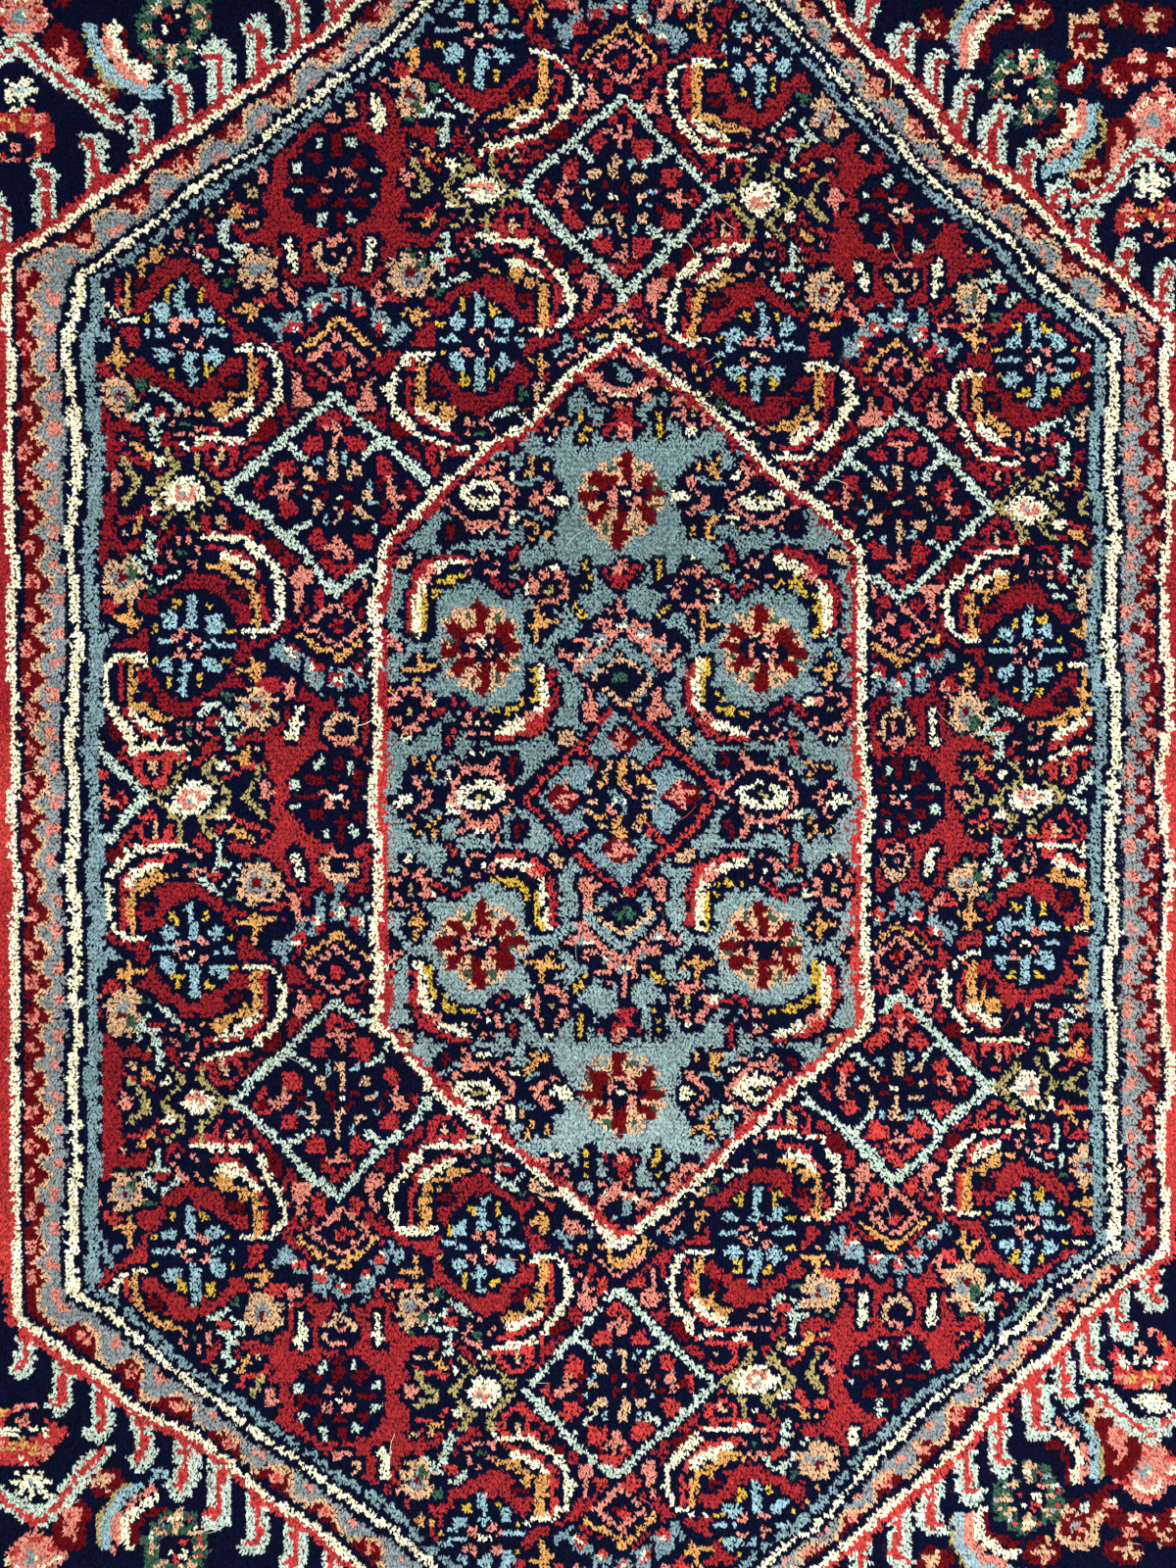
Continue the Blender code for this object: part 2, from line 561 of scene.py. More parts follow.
def field_leaf() -> Motif:
    """Draw the field's curled leaf, between the flower and the lozenge.

    Returns:
        The motif.
    """
    body = line(NAVY, 6.4, (2.2, 18.6), (8, 17.8), (12.6, 14.4), (14.4, 10), (14.2, 5.8))
    inside = patch(NAVY, 9.6, 10.6, 6, 5.6) + patch(WINE, 8.6, 9.9, 3.6, 2.2, turn=-30)
    rim = (line(SCARLET, 1.2, (0.9, 22.9), (8, 22.3), (12.6, 20.6))
           + lines(CREAM, (1.5, (0.9, 21.4), (4.6, 21.1), (8, 20.8), (11.2, 20.2)),
                   (2.2, (12.6, 18.9), (14.9, 16.3), (16.5, 13.9)),
                   (1.7, (16.9, 13.4), (17.8, 11), (18, 7)))
           + patch(CREAM, 18.5, 9.4, 2.2, 1.9)
           + line(CREAM, 1.4, (17.8, 6.6), (17, 4.8), (15.3, 3.4), (12.9, 2.8), (10, 3.2)))
    inner_edge = line(SCARLET, 1.4, (3.7, 19.2), (8.3, 18.2), (11.6, 16.1), (13.9, 13.3),
                      (14.6, 10.2), (14.5, 4.4))
    pale = lines(CREAM, (2, (6.3, 17.5), (9.2, 16.2)), (1.8, (9.6, 15.9), (11.2, 14.9), (12.5, 13.8)))
    golden = (line(GOLD, 0.9, (2, 15.5), (4.9, 15.5)) + patch(GOLD, 6.4, 14.9, 3.6, 3)
              + lines(GOLD, (1.5, (7.4, 14.2), (9.4, 13.2), (11.6, 12.4)),
                      (1.4, (9, 13.2), (9.6, 11.7)), (2.1, (12.2, 11.8), (12.5, 8), (12.6, 4.2))))
    return body + inside + rim + inner_edge + pale + golden + dotted_bud(18, MOSS)


def medallion_leaf() -> Motif:
    """Draw the medallion's curled leaf, between the flower and the lozenge.

    Returns:
        The motif.
    """
    body = line(NAVY, 5.6, (2.4, 15.4), (7, 14.8), (10.6, 12.4), (12, 8.6), (12, 4.6))
    outer = lines(SCARLET, (1.4, (3.6, 18.9), (7.2, 18.7), (9.4, 17.6)), (3, (9.8, 17), (12.4, 15.2)),
                  (1.9, (13.8, 13.2), (14.9, 10.8), (14.6, 4.6)))
    pale = (line(CREAM, 2.2, (3.9, 17.3), (6.6, 16.8), (9.2, 15.4))
            + line(PINK, 2, (9.6, 14.8), (11.4, 13.6))
            + line(CREAM, 2.1, (12.2, 12.8), (13, 9.8), (13, 3.8)))
    golden = (patch(MUSTARD, 6.4, 13, 3.5, 2.1, turn=-15)
              + lines(MUSTARD, (1, (2.4, 13.5), (4.6, 13.2)), (1.4, (8.6, 11.9), (8.9, 10.2)),
                      (1.7, (11.3, 10.4), (11.3, 4))))
    return body + outer + pale + golden + dotted_bud(16, CREAM)


def field_wreath() -> Motif:
    """Draw the blue flower within two curled leaves, lozenges up right and down left.

    Returns:
        The motif.
    """
    core = four_ways(
        line(SKY, 1.8, (0, 5), (0, 9.2)) + patches(SKY, (0, 4.1, 2.5, 2.6), (4.7, 4.1, 3.8, 3.5, 20))
        + patches(MUSTARD, (3.1, 7.2, 1.8, 3), (7.8, 2.9, 1.9, 1.1))
        + patch(PINK, 2.1, 1.8, 2.8, 1.8, turn=-38))
    bars = both_sides(line(SKY, 1.3, (3.8, 0.2), (5.4, 0.6), (8.2, 0.2)))
    carets = half_turned(
        lines(MINT, (1.4, (-10.8, 17), (-7.8, 13.4)), (1.2, (-6.8, 11.8), (-5, 12.6)),
              (1.5, (-4.6, 13), (-1.8, 14.9)))
        + patch(SCARLET, -5.9, 15.5, 3.4, 2.2) + patch(OLIVE, -8.2, 18.4, 2.8, 0.9)
        + patch(MOSS, -11.9, 14.4, 2.2, 3)
        + lines(MINT, (1.2, (-5.6, 16.9), (-8.9, 16.9)), (1.8, (-7, 17.4), (-7.2, 21.8))))
    return (patch(NAVY, 0, 0, 19, 19.6, power=1.9) + core + bars + patch(CREAM, 0, 0, 2.5, 1.2)
            + star(12.9, -4.9) + star(-12.9, 4.9) + carets + half_turned(field_leaf()))


def medallion_wreath() -> Motif:
    """Draw the medallion's two curled leaves, round the place of a rosette.

    Returns:
        The motif.
    """
    carets = half_turned(
        lines(SCARLET, (1.3, (-9.6, 13.4), (-6.6, 11.4)), (1.3, (-5.4, 10.3), (-1.6, 12.9))))
    sprig = half_turned(line(SCARLET, 1.5, (-6.6, 20.4), (-5.8, 17.4))
                        + patch(OLIVE, -7, 16, 2.4, 1.1, turn=-20) + patch(SEA, -4.4, 13.6, 2, 1.2))
    return star(12.6, -4.2) + star(-12.6, 4.2) + carets + sprig + half_turned(medallion_leaf())


def field_eye() -> Motif:
    """Draw the field's eye between a lozenge, to its right, and a round flower.

    Returns:
        The motif.
    """
    ground = patch(NAVY, 0.2, 0, 16.6, 12.6, power=1.3) + patch(NAVY, -11.4, 0, 9.6, 15, power=1.6)
    horns = up_and_down(
        lines(OLIVE, (1.4, (7.4, 0), (4.6, 2), (2.4, 4.2), (1.3, 5.6), (2, 8)),
              (1.4, (-7, 0), (-4.6, 2.4), (-2, 4.2), (-3.4, 6), (-4.8, 7.4))))
    oval = patch(CREAM, 0, 0, 8.6, 6.4, power=1.5) + patch(PINK, 0, 0, 4.8, 3.2)
    pupil = patch(CREAM, 0, 0, 2.9, 1.8) + patch(ASH, 0, 0, 1.4, 1.2)
    dots = patches(CREAM, (-6, 5, 2.4, 2.4), (-5.9, -3.6, 2.7, 2.5), (-0.8, 7.8, 2, 1.1, -30),
                   (-1, -6.8, 1.3, 1.3))
    tail = (line(OLIVE, 1.4, (-13.6, 5), (-11.6, 2), (-10.4, 0.2)) + patch(OLIVE, -10.6, 0, 2.2, 2.2)
            + line(OLIVE, 1.7, (-10.6, -0.6), (-13.8, -2.9)) + patch(PINK, -14.9, 0.8, 2.8, 3.6))
    wings = up_and_down(
        line(GOLD, 1.5, (-10.9, 8.2), (-10.2, 6.6), (-8.6, 6))
        + patch(GOLD, -9.6, 6.2, 2.4, 1.8, turn=-30) + patch(TAN, -13.4, 8.6, 1.8, 1.3)
        + line(SCARLET, 1.2, (-14.6, 6.2), (-10.6, 5.2), (-8.2, 3.4)))
    return ground + horns + oval + pupil + dots + tail + wings


def medallion_eye() -> Motif:
    """Draw the medallion's eye, a pale oval in a pink lozenge.

    Returns:
        The motif.
    """
    ground = patch(NAVY, 0, 0, 19, 13, power=1.4) + patch(NAVY, -12.6, 0, 10, 14, power=1.6)
    lozenge = up_and_down(
        line(PINK, 1.3, (8.9, 0), (6, 1.8), (3.6, 4.4), (3, 6), (3.8, 8.2))
        + patch(PINK, 2.2, 5.4, 3, 2.2)
        + lines(PINK, (1.6, (2.2, 5.6), (-1.8, 5.2), (-4.2, 3.4), (-6.8, 0.6)),
                (1.4, (-2, 5.2), (-4.2, 7))))
    oval = patch(CREAM, 0, 0, 10, 5.8) + patch(NAVY, 0.1, 0.2, 5.6, 2.9, power=1.5)
    pupil = patch(OLIVE, 0.1, 0.2, 2.2, 1.6)
    dots = patches(CREAM, (0.2, 7.9, 2.8, 1.2), (-6.4, 4.4, 2.6, 1.5, 40), (-6.6, -3.8, 2.9, 2.6),
                   (0, -6.9, 1.8, 1.4))
    tail = (lines(PINK, (1.5, (-14.6, 3.4), (-12.4, 1.2), (-10.9, 0)), (1.5, (-11.4, -0.4), (-14.4, -4)))
            + patch(PINK, -14.2, 3, 2.2, 2.2) + patch(CREAM, -15.9, -0.2, 3.6, 3))
    wings = up_and_down(
        line(GOLD, 1.5, (-10, 8), (-11.2, 6.4), (-9.6, 4.6)) + patch(GOLD, -13.6, 7.2, 1.4, 2)
        + line(SEA, 1.2, (-8.6, 3), (-12.2, 4.4)))
    return ground + lozenge + oval + pupil + dots + tail + wings


def field_palmette() -> Motif:
    """Draw the field's palmette over a small lozenge, with another below it.

    Returns:
        The motif.
    """
    ground = (patch(NAVY, 0, 1.4, 17, 16, power=1)
              + both_sides(line(NAVY, 6.4, (0, 11.2), (5, 9.4), (12, 5.4))))
    golden = both_sides(line(GOLD, 1.4, (7.4, 1.2), (3.8, 4.2), (0, 7))) + patch(GOLD, 0, 6.8, 2.8, 2.2)
    lozenge = both_sides(line(PINK, 1.3, (0, -4.3), (5.2, 0), (0, 4.3)))
    heart = patch(SCARLET, 0, 0, 3.4, 3) + patch(WINE, 0, 0, 1.6, 1.4)
    crown = both_sides(
        lines(SEA, (3.6, (0, 11.6), (4.4, 9.8), (9, 6.2)), (1.8, (9, 6.6), (11.4, 4.2), (12.6, 6.2)),
              (1.4, (10.8, 4), (10.6, 2.8)), (1.5, (5.4, 11.4), (3.9, 13.2))))
    gaps = both_sides(lines(NAVY, (1.3, (2.5, 13), (2.1, 9.6)), (1.3, (7, 10.4), (6, 6.6))))
    pale = spots(SCARLET, (3.1, 2.8), (1.8, 1.4, 15),
                 (-8.3, 5.6), (-4.4, 8.9), (0, 11.1), (4.4, 8.9), (8.3, 5.6))
    leaves = both_sides(patch(SCARLET, 12.8, 11.5, 5, 3) + line(PINK, 1.6, (8.7, 11.6), (10.2, 13.8)))
    return moved(ground + golden + lozenge + heart + crown + gaps + pale + leaves, 0, -3.8)


def medallion_palmette() -> Motif:
    """Draw the medallion's palmette over its small lozenge.

    Returns:
        The motif.
    """
    ground = (patch(NAVY, 0, 0, 15, 12.6, power=1)
              + both_sides(lines(NAVY, (3.4, (0, 8), (7.8, 1.6)), (4.6, (0, 11.6), (6, 9.2), (11, 5.6)))))
    chevron = both_sides(line(TEAL, 1.9, (0, 6.4), (6.8, 1)))
    lozenge = both_sides(line(TAN, 1.2, (0, 4.2), (5.7, 0), (0, -4.8)))
    crown = both_sides(
        lines(PINK, (1.8, (1, 8.9), (4.4, 6.2), (7.4, 3.2)), (1.7, (7.8, 2.6), (8.9, 1.6)),
              (1.7, (8.6, 3.2), (11.7, 5.8)), (1.7, (5.4, 7.2), (8.4, 7.6)))
        + patch(PINK, 2.3, 9.8, 2.8, 3.2) + line(PINK, 1.3, (2.8, 11.6), (5.4, 10.6))
        + patch(PINK, 2.8, 13.5, 1.7, 1.8))
    stem = line(PINK, 1.7, (0.5, 12.8), (0.4, 16.8))
    pale = spots(ASH, (3.2, 2.4), (1.9, 1.4), (0, 10.6), (4.2, 8.4), (-4.2, 8.4), (7.6, 5), (-7.6, 5))
    return moved(ground + chevron + lozenge + patch(MOSS, 0, 0, 3.9, 2.7) + crown + stem + pale, 0, -6.2)


def apex_spray() -> Motif:
    """Draw the gold spray that hugs the medallion's upper point, over it.

    Returns:
        The motif.
    """
    ground = both_sides(line(NAVY, 5, (0, 3.4), (6.6, -0.6), (12.6, -4.6)))
    golden = (both_sides(line(GOLD, 1.5, (0, 5.6), (2.2, 4.2), (4.2, 1.4)) + patch(GOLD, 4, 1.6, 2.2, 1.8))
              + patch(GOLD, 0, 5.2, 2.9, 2.6))
    sides = both_sides(
        patch(SEA, 6.2, 0.2, 2.2, 1.7, turn=-35)
        + lines(PINK, (2, (8.2, -1), (10.2, -2.4)), (1.2, (10.2, -2.4), (12.6, -4.2))))
    return ground + golden + sides


def apex_flower() -> Motif:
    """Draw the small blue flower over its pink crown, inside the medallion's upper point.

    Returns:
        The motif.
    """
    ground = both_sides(line(NAVY, 6, (0, -3.6), (4.4, -2.6), (7, 0.6)))
    head = (patch(NAVY, 0, 0.4, 7, 5.4) + patch(SEA, 0, 0.2, 3.4, 3)
            + line(SEA, 1, (-1.8, 2), (1.6, -1.4)))
    crown = both_sides(
        line(PINK, 2.6, (0, -4), (3.6, -3.2), (6.4, 0.4))
        + patches(PINK, (4.6, -5, 2.4, 2), (1.6, -6.4, 2.2, 1.8))
        + patches(CREAM, (3.4, -3.2, 1.7, 1.4), (0.5, -4.4, 1.7, 1.3)))
    return ground + head + crown


@dataclass(frozen=True)
class Placing:
    """Where a motif is drawn, in knots of the lattice, and how it is mirrored."""

    motif: Motif
    x: float
    y: float
    flip_x: int
    flip_y: int
    outlined: bool


class Chart:
    """The pattern as a chart with one square for each knot."""

    def __init__(self, across: Array, along: Array, ground: Yarn) -> None:
        """Start a chart of one ground colour.

        Args:
            across: Each knot's place across the pattern, in knots.
            along: Each knot's place along the pattern, in knots.
            ground: The colour of the empty chart.
        """
        self.across = across
        self.along = along
        self.knots = np.full(across.shape, ground.value, dtype=np.int64)
        self.placings: list[Placing] = []
        self.rng = np.random.default_rng(ground.value + SLIP_SEED)

    def place(self, motif: Motif, x: float, y: float, flip_x: int = 1, flip_y: int = 1,
              outlined: bool = True) -> None:
        """Add a motif to the list of what is drawn, with the slips of a knotter's hand."""
        slipped = tuple(mark.slipped(self.rng) for mark in motif)
        self.placings.append(Placing(slipped, x, y, flip_x, flip_y, outlined))

    def _window(self, placing: Placing, reach: float) -> tuple[slice, slice]:
        """Find the part of the chart that a mark may reach.

        Args:
            placing: Where the mark's motif is drawn.
            reach: How far from there the mark goes.

        Returns:
            The rows and the columns.
        """
        row_middle = self.along[:, self.along.shape[1] // 2]
        column_middle = self.across[self.across.shape[0] // 2]
        windows = []
        for places, middle in ((row_middle, placing.y), (column_middle, placing.x)):
            near = np.flatnonzero(np.abs(places - middle) < reach + WINDOW_SLACK)
            windows.append(slice(near[0], near[-1] + 1) if len(near) else slice(0, 0))
        return windows[0], windows[1]

    def _draw(self, placing: Placing, mark: Line | Patch, halo: float) -> None:
        """Draw one mark.

        Args:
            placing: Where the mark's motif is drawn.
            mark: The mark.
            halo: Where it is above 0, the width of the outline that is drawn on the ground.
        """
        window = self._window(placing, mark.reach())
        u = (self.across[window] - placing.x) * placing.flip_x
        v = (self.along[window] - placing.y) * placing.flip_y
        inside = mark.distance(u, v) <= halo - TRIM
        view = self.knots[window]
        if halo > 0.0:
            view[inside & np.isin(view, GROUNDS)] = NAVY.value
        else:
            view[inside] = mark.yarn.value

    def draw(self) -> Array:
        """Draw every outline and then every mark.

        Returns:
            Rows of knots, one number of a wool for each.
        """
        for halo in (HALO, 0.0):
            for placing in self.placings:
                for mark in placing.motif:
                    if halo == 0.0 or (placing.outlined and mark.yarn is not NAVY):
                        self._draw(placing, mark, halo)
        return self.knots


@dataclass(frozen=True)
class Layout:
    """Where the large parts of the pattern lie, in knots from the medallion's middle."""

    columns: tuple[float, ...] = (-116, -88.2, -57.6, -28.3, 0.2, 28.2, 57.2, 83.7, 111)
    column_pitch: float = 28.75
    row_pitch: float = 30.5
    fan: float = 0.000376
    shoulder: float = 50.0
    ragged: float = 0.4
    medallion: tuple[Point, ...] = (
        (0.9, 93.8), (49.2, 50.9), (50.6, -47.1), (0.5, -93.5), (-49.8, -48.1), (-49.4, 52.3))
    guard: tuple[Point, ...] = (
        (-4, 195), (32.9, 157.1), (51.5, 137.2), (65.2, 124.7), (78.6, 112.1), (100.2, 93.4),
        (101.7, -92), (90.5, -102.3), (75, -117), (59.8, -130.5), (44.3, -146.7), (34, -156.1),
        (-4, -190), (-47.1, -151.6), (-53.2, -148), (-68.7, -136.2), (-86.7, -122.7),
        (-104.5, -108.6), (-112.6, -102.6), (-111.3, 60), (-111, 105.8), (-96.7, 115), (-84, 125),
        (-64.7, 139.1), (-46.5, 152.6), (-39.1, 160))
    outer: tuple[Point, ...] = (
        (-4, 208), (44.9, 156.4), (55.6, 145.6), (67.1, 134.6), (82.2, 120.9), (94.6, 110.2),
        (111.2, 95.8), (112.5, -93.2), (98.4, -105.8), (85.4, -119), (72.1, -132.5),
        (57.2, -146.3), (40.3, -161), (-4, -205), (-52.8, -159.6), (-65.2, -149.8),
        (-81.5, -137.9), (-97.6, -127.4), (-115.9, -113.7), (-124.6, -107.2), (-124, 0),
        (-124, 109.6), (-112.7, 117.2), (-95, 129.2), (-81.9, 138.2), (-69.6, 147.1),
        (-55.5, 157.1))


def inside_distance(corners: Sequence[Point], u: Array, v: Array) -> Array:
    """Measure places from a closed outline.

    Args:
        corners: The outline's corners.
        u: Each place across.
        v: Each place along.

    Returns:
        How far each place lies inside the outline, below 0 outside.
    """
    nearest = np.full(u.shape, np.inf)
    inside = np.zeros(u.shape, dtype=bool)
    for start, end in zip(corners, (*corners[1:], corners[0])):
        nearest = np.minimum(nearest, from_segment(start, end, u, v)[0])
        dx, dy = end[0] - start[0], end[1] - start[1]
        if dy:
            inside ^= (((start[1] > v) != (end[1] > v))
                       & (u < dx * (v - start[1]) / dy + start[0]))
    return np.where(inside, nearest, -nearest)


def drift(u: Array, v: Array, rng: np.random.Generator) -> Array:
    """Draw a smooth wander over the rug, as a sum of long waves.

    Args:
        u: Each place across.
        v: Each place along.
        rng: The source of the waves.

    Returns:
        How far each place wanders, in knots.
    """
    total = np.zeros(u.shape)
    waves, shortest, longest = 14, 12.0, 48.0
    for _ in range(waves):
        heading = rng.uniform(0.0, 2.0 * math.pi)
        length = rng.uniform(shortest, longest)
        phase = rng.uniform(0.0, 2.0 * math.pi)
        along = u * math.cos(heading) + v * math.sin(heading)
        total += np.sin(2.0 * math.pi * along / length + phase)
    return DRIFT * total / math.sqrt(0.5 * waves)


@dataclass(frozen=True)
class Lattice:
    """The motifs of one lattice, which stand at its crossings and between them."""

    eyes: Motif
    lozenge: Motif
    posy: Motif
    flower: Motif
    rosette: Motif
    wreath: Motif
    eye: Motif
    palmette: Motif

    def place(self, chart: Chart, columns: range, rows: range) -> None:
        """Place the motifs over a chart.

        Args:
            chart: The chart to draw on.
            columns: Quarter columns, counted from the rug's middle.
            rows: Quarter rows, counted from the rug's middle.
        """
        layout = Layout()
        under: list[tuple] = []
        over: list[tuple] = []
        for p in columns:
            for q in rows:
                x, y = p * layout.column_pitch, q * layout.row_pitch
                if p % 2 == 0 and q % 2 == 0 and (p + q) % 4 == 0:
                    under.append((self.eyes, x, y))
                    over.append((self.lozenge, x, y))
                elif p % 2 == 0 and q % 2 == 0:
                    over += [(self.posy, x, y), (self.flower, x, y),
                             (self.rosette, x, y, 1, 1, False)]
                elif p % 2 and q % 2:
                    over += [(self.wreath, x, y, 1 if (p + q + 2) % 4 == 0 else -1),
                             (self.rosette, x, y, 1, 1, False)]
                elif p % 2:
                    over.append((self.eye, x, y, 1 if (p + 1 + q) % 4 == 0 else -1))
                else:
                    over.append((self.palmette, x, y, 1, 1 if (p + q - 1) % 4 == 0 else -1))
        for placed in under + over:
            chart.place(*placed)


def field_lattice() -> Lattice:
    """Return the motifs of the madder field."""
    return Lattice(
        eyes=sliver_eyes(patch(SCARLET, 21.8, 6.6, 7.2, 8.2)),
        lozenge=field_lozenge() + around_lozenge(SCARLET, WINE, TAN),
        posy=field_posy() + field_blossoms(), flower=field_flower(), rosette=(),
        wreath=field_wreath(), eye=field_eye(), palmette=field_palmette())


def medallion_lattice() -> Lattice:
    """Return the motifs of the teal medallion."""
    return Lattice(
        eyes=sliver_eyes(()), lozenge=medallion_lozenge() + around_lozenge(SEA, TAN, WINE),
        posy=medallion_posy() + medallion_blossoms(), flower=(), rosette=rosette_flower(),
        wreath=medallion_wreath(), eye=medallion_eye(), palmette=medallion_palmette())


def comb_leaf(height: float, width: float) -> Motif:
    """Draw one striped leaf of a corner's comb, its tip hooked over to +x.

    Args:
        height: The leaf's height.
        width: The width of its pale stripes.

    Returns:
        The leaf.
    """
    return (line(NAVY, width + 2, (0, 0.6), (0, 0.7 * height), (1.2, height - 2.2))
            + line(MINT, width, (0, 0.6), (0, 0.7 * height), (1, height - 2.2))
            + patch(MINT, 2.7, height - 2.3, 2.4, 2.7, turn=20)
            + patch(SCARLET, 0, -0.2, 4.4, 3, power=1.1)
            + lines(SCARLET, (1.8, (0, 0), (0.1, 0.66 * height), (1, height - 3)),
                    (1.4, (1, height - 3), (2.3, height - 2.8))))


def green_rosette() -> Motif:
    """Draw the green rosette of a corner, mottled with small tan and pale tips.

    Returns:
        The motif.
    """
    rim: Motif = ()
    for step, (x, y, angle) in enumerate(round_places(14, 6.6, 7.1)):
        tip = (ASH, TAN, MINT)[step % 3]
        rim += patch(MOSS, x, y, 3.1, 3.1)
        rim += patch(tip, 6.2 * math.sin(angle), -6.6 * math.cos(angle), 1.5, 1.5)
    petals = four_ways(
        line(TAN, 1.7, (0, 4.2), (0, 7.4)) + patch(CREAM, 0.9, 6.3, 1.3, 1.5)
        + patch(TAN, 3.8, 3.5, 3, 2.2, turn=30) + patch(NAVY, 2.1, 5.2, 1.6, 2.2)
        + patch(TAN, 5.4, 0, 2.3, 1.7) + patch(CREAM, 4.5, 3.9, 1.3, 1.2)
        + patches(SCARLET, (2.7, 6.4, 1.4, 1.5), (6, 2.3, 1.5, 1.4)))
    return (patch(MOSS, 0, 0, 14.6, 15.4) + rim + patch(NAVY, 0, 0, 8.8, 8.6) + petals
            + patches(SCARLET, (2.1, -1.6, 2.2, 1.8), (-1.2, 1.9, 2, 1.7))
            + patches(CREAM, (-1.7, -0.3, 1.7, 2.5), (1.1, 1.6, 2.2, 1.7))
            + patch(PINK, -2.6, -2.6, 1.8, 1.6))


def framed_floret() -> Motif:
    """Draw the squarish floret of a corner."""
    return (patch(TAN, 0, 0, 9, 8.8, power=4) + patch(WINE, 0, 0, 6.2, 6, power=4)
            + patch(ASH, 0.3, 0.2, 2.6, 2.6) + patches(PINK, (-1, 0.6, 1.7, 1.6), (1.4, -1, 1.3, 1.3)))


def white_floret() -> Motif:
    """Draw the pale eight-pointed floret of a corner."""
    return (patch(NAVY, 0, 0, 9.4, 8) + patch(CREAM, 0, 0, 4.6, 3.6)
            + lines(CREAM, (1.5, (-3.4, 0), (3.4, 0)), (1.5, (0, -2.6), (0, 2.6)))
            + four_ways(line(CREAM, 1.3, (0, 0), (2.5, 2.2))) + patch(SKY, 0, 0, 1.9, 1.6))


def crown_palmette() -> Motif:
    """Draw the corner's coral palmette, its spotted crown towards +y.

    Returns:
        The motif.
    """
    crown = spots(PINK, (3.4, 2.9), (1.7, 1.5), (-9, 5.8), (-5.4, 8.8), (-1.2, 10), (3.2, 9),
                  (7, 6.6), (9.6, 9.6), (-8.6, 11.4), (-3.2, 13.4), (4, 13))
    return (patch(WINE, 0, 8.4, 24, 12) + patch(NAVY, 0, 5, 16, 7) + crown
            + patch(PINK, 0, 0, 13.6, 13, power=1.15)
            + four_ways(patches(SCARLET, (3.6, 1.9, 2.2, 1.8), (0.9, 4.4, 1.8, 1.9)))
            + line(CREAM, 1, (-4.9, 0), (0, 4.4), (4.9, 0)) + patch(SEA, 0, 0, 3, 2.6)
            + patch(CREAM, 0.2, 0.3, 1.2, 1.2))


def pear() -> Motif:
    """Draw the leaning pear of a corner."""
    return (line(WINE, 8.4, (0, -1.4), (-0.3, 3.4)) + patch(PINK, 0, -1.3, 4.6, 4)
            + lines(PINK, (2.7, (0, 0), (-0.4, 2.2)), (1.5, (-0.4, 2.2), (0.2, 4.2)))
            + patch(SCARLET, 0, -1.5, 1.7, 1.7))


def small_floret() -> Motif:
    """Draw the small star floret of a corner in its wine oval."""
    return (patch(WINE, 0, 0, 8.2, 6) + patch(PINK, 0, 0, 2.4, 2.2)
            + lines(TAN, (1.2, (-2.3, 0.8), (2.3, -0.6)), (1.2, (-0.8, -2.2), (0.7, 1.9))))


def mint_floret() -> Motif:
    """Draw the upright mint floret of a corner."""
    return (patch(WINE, 0, 0, 8, 7.6, power=1.2) + patch(NAVY, 0, 0, 3.8, 4.4)
            + patch(MINT, 0, 0, 2.1, 3.6))


def curl() -> Motif:
    """Draw a corner's curled leaf from its bend, one arm along +y and one along +x.

    Returns:
        The motif.
    """
    return (line(OLIVE, 1.3, (-3.2, 8.2), (-3, 2.4), (0.4, -3.2), (3, -4.6))
            + line(SKY, 2.6, (-1.7, 8.4), (-1.5, 2.4), (1.9, -2.4), (6.4, -4.7), (11.4, -5.2))
            + line(PINK, 1.9, (0.5, 9.2), (0.6, 3.2), (3.4, -0.5), (7.6, -2.8))
            + line(CREAM, 2.3, (2.6, 9.2), (2.4, 3.8), (4.6, 1.2), (8.4, -0.8), (10.2, -0.9))
            + line(WINE, 1.6, (4.6, 8.4), (4.4, 4.8), (7, 2.2), (10.4, 1.2)))


def half_open_flower() -> Motif:
    """Draw the corner's half-open flower of many colours.

    Returns:
        The motif.
    """
    petals = both_sides(
        patch(CREAM, 4.2, 1.6, 2.4, 2) + patch(GOLD, 2.2, 4.6, 2.6, 2.2)
        + patch(PINK, 5, 4.4, 2.6, 2.4) + patch(CREAM, 1.9, 1.2, 1.6, 1.7)
        + patch(GOLD, 4.6, -2.2, 2.2, 1.9) + patch(PINK, 2.3, -3.6, 2.4, 1.8))
    return (patch(SCARLET, 0, 1.6, 15.4, 11.6) + patch(NAVY, 0, -0.4, 8.4, 6.6) + petals
            + patch(CREAM, 0, 6.4, 2.2, 1.9) + patch(PINK, 0, -0.6, 2.6, 2.2)
            + patch(GOLD, 0, 3.2, 1.6, 2.6))


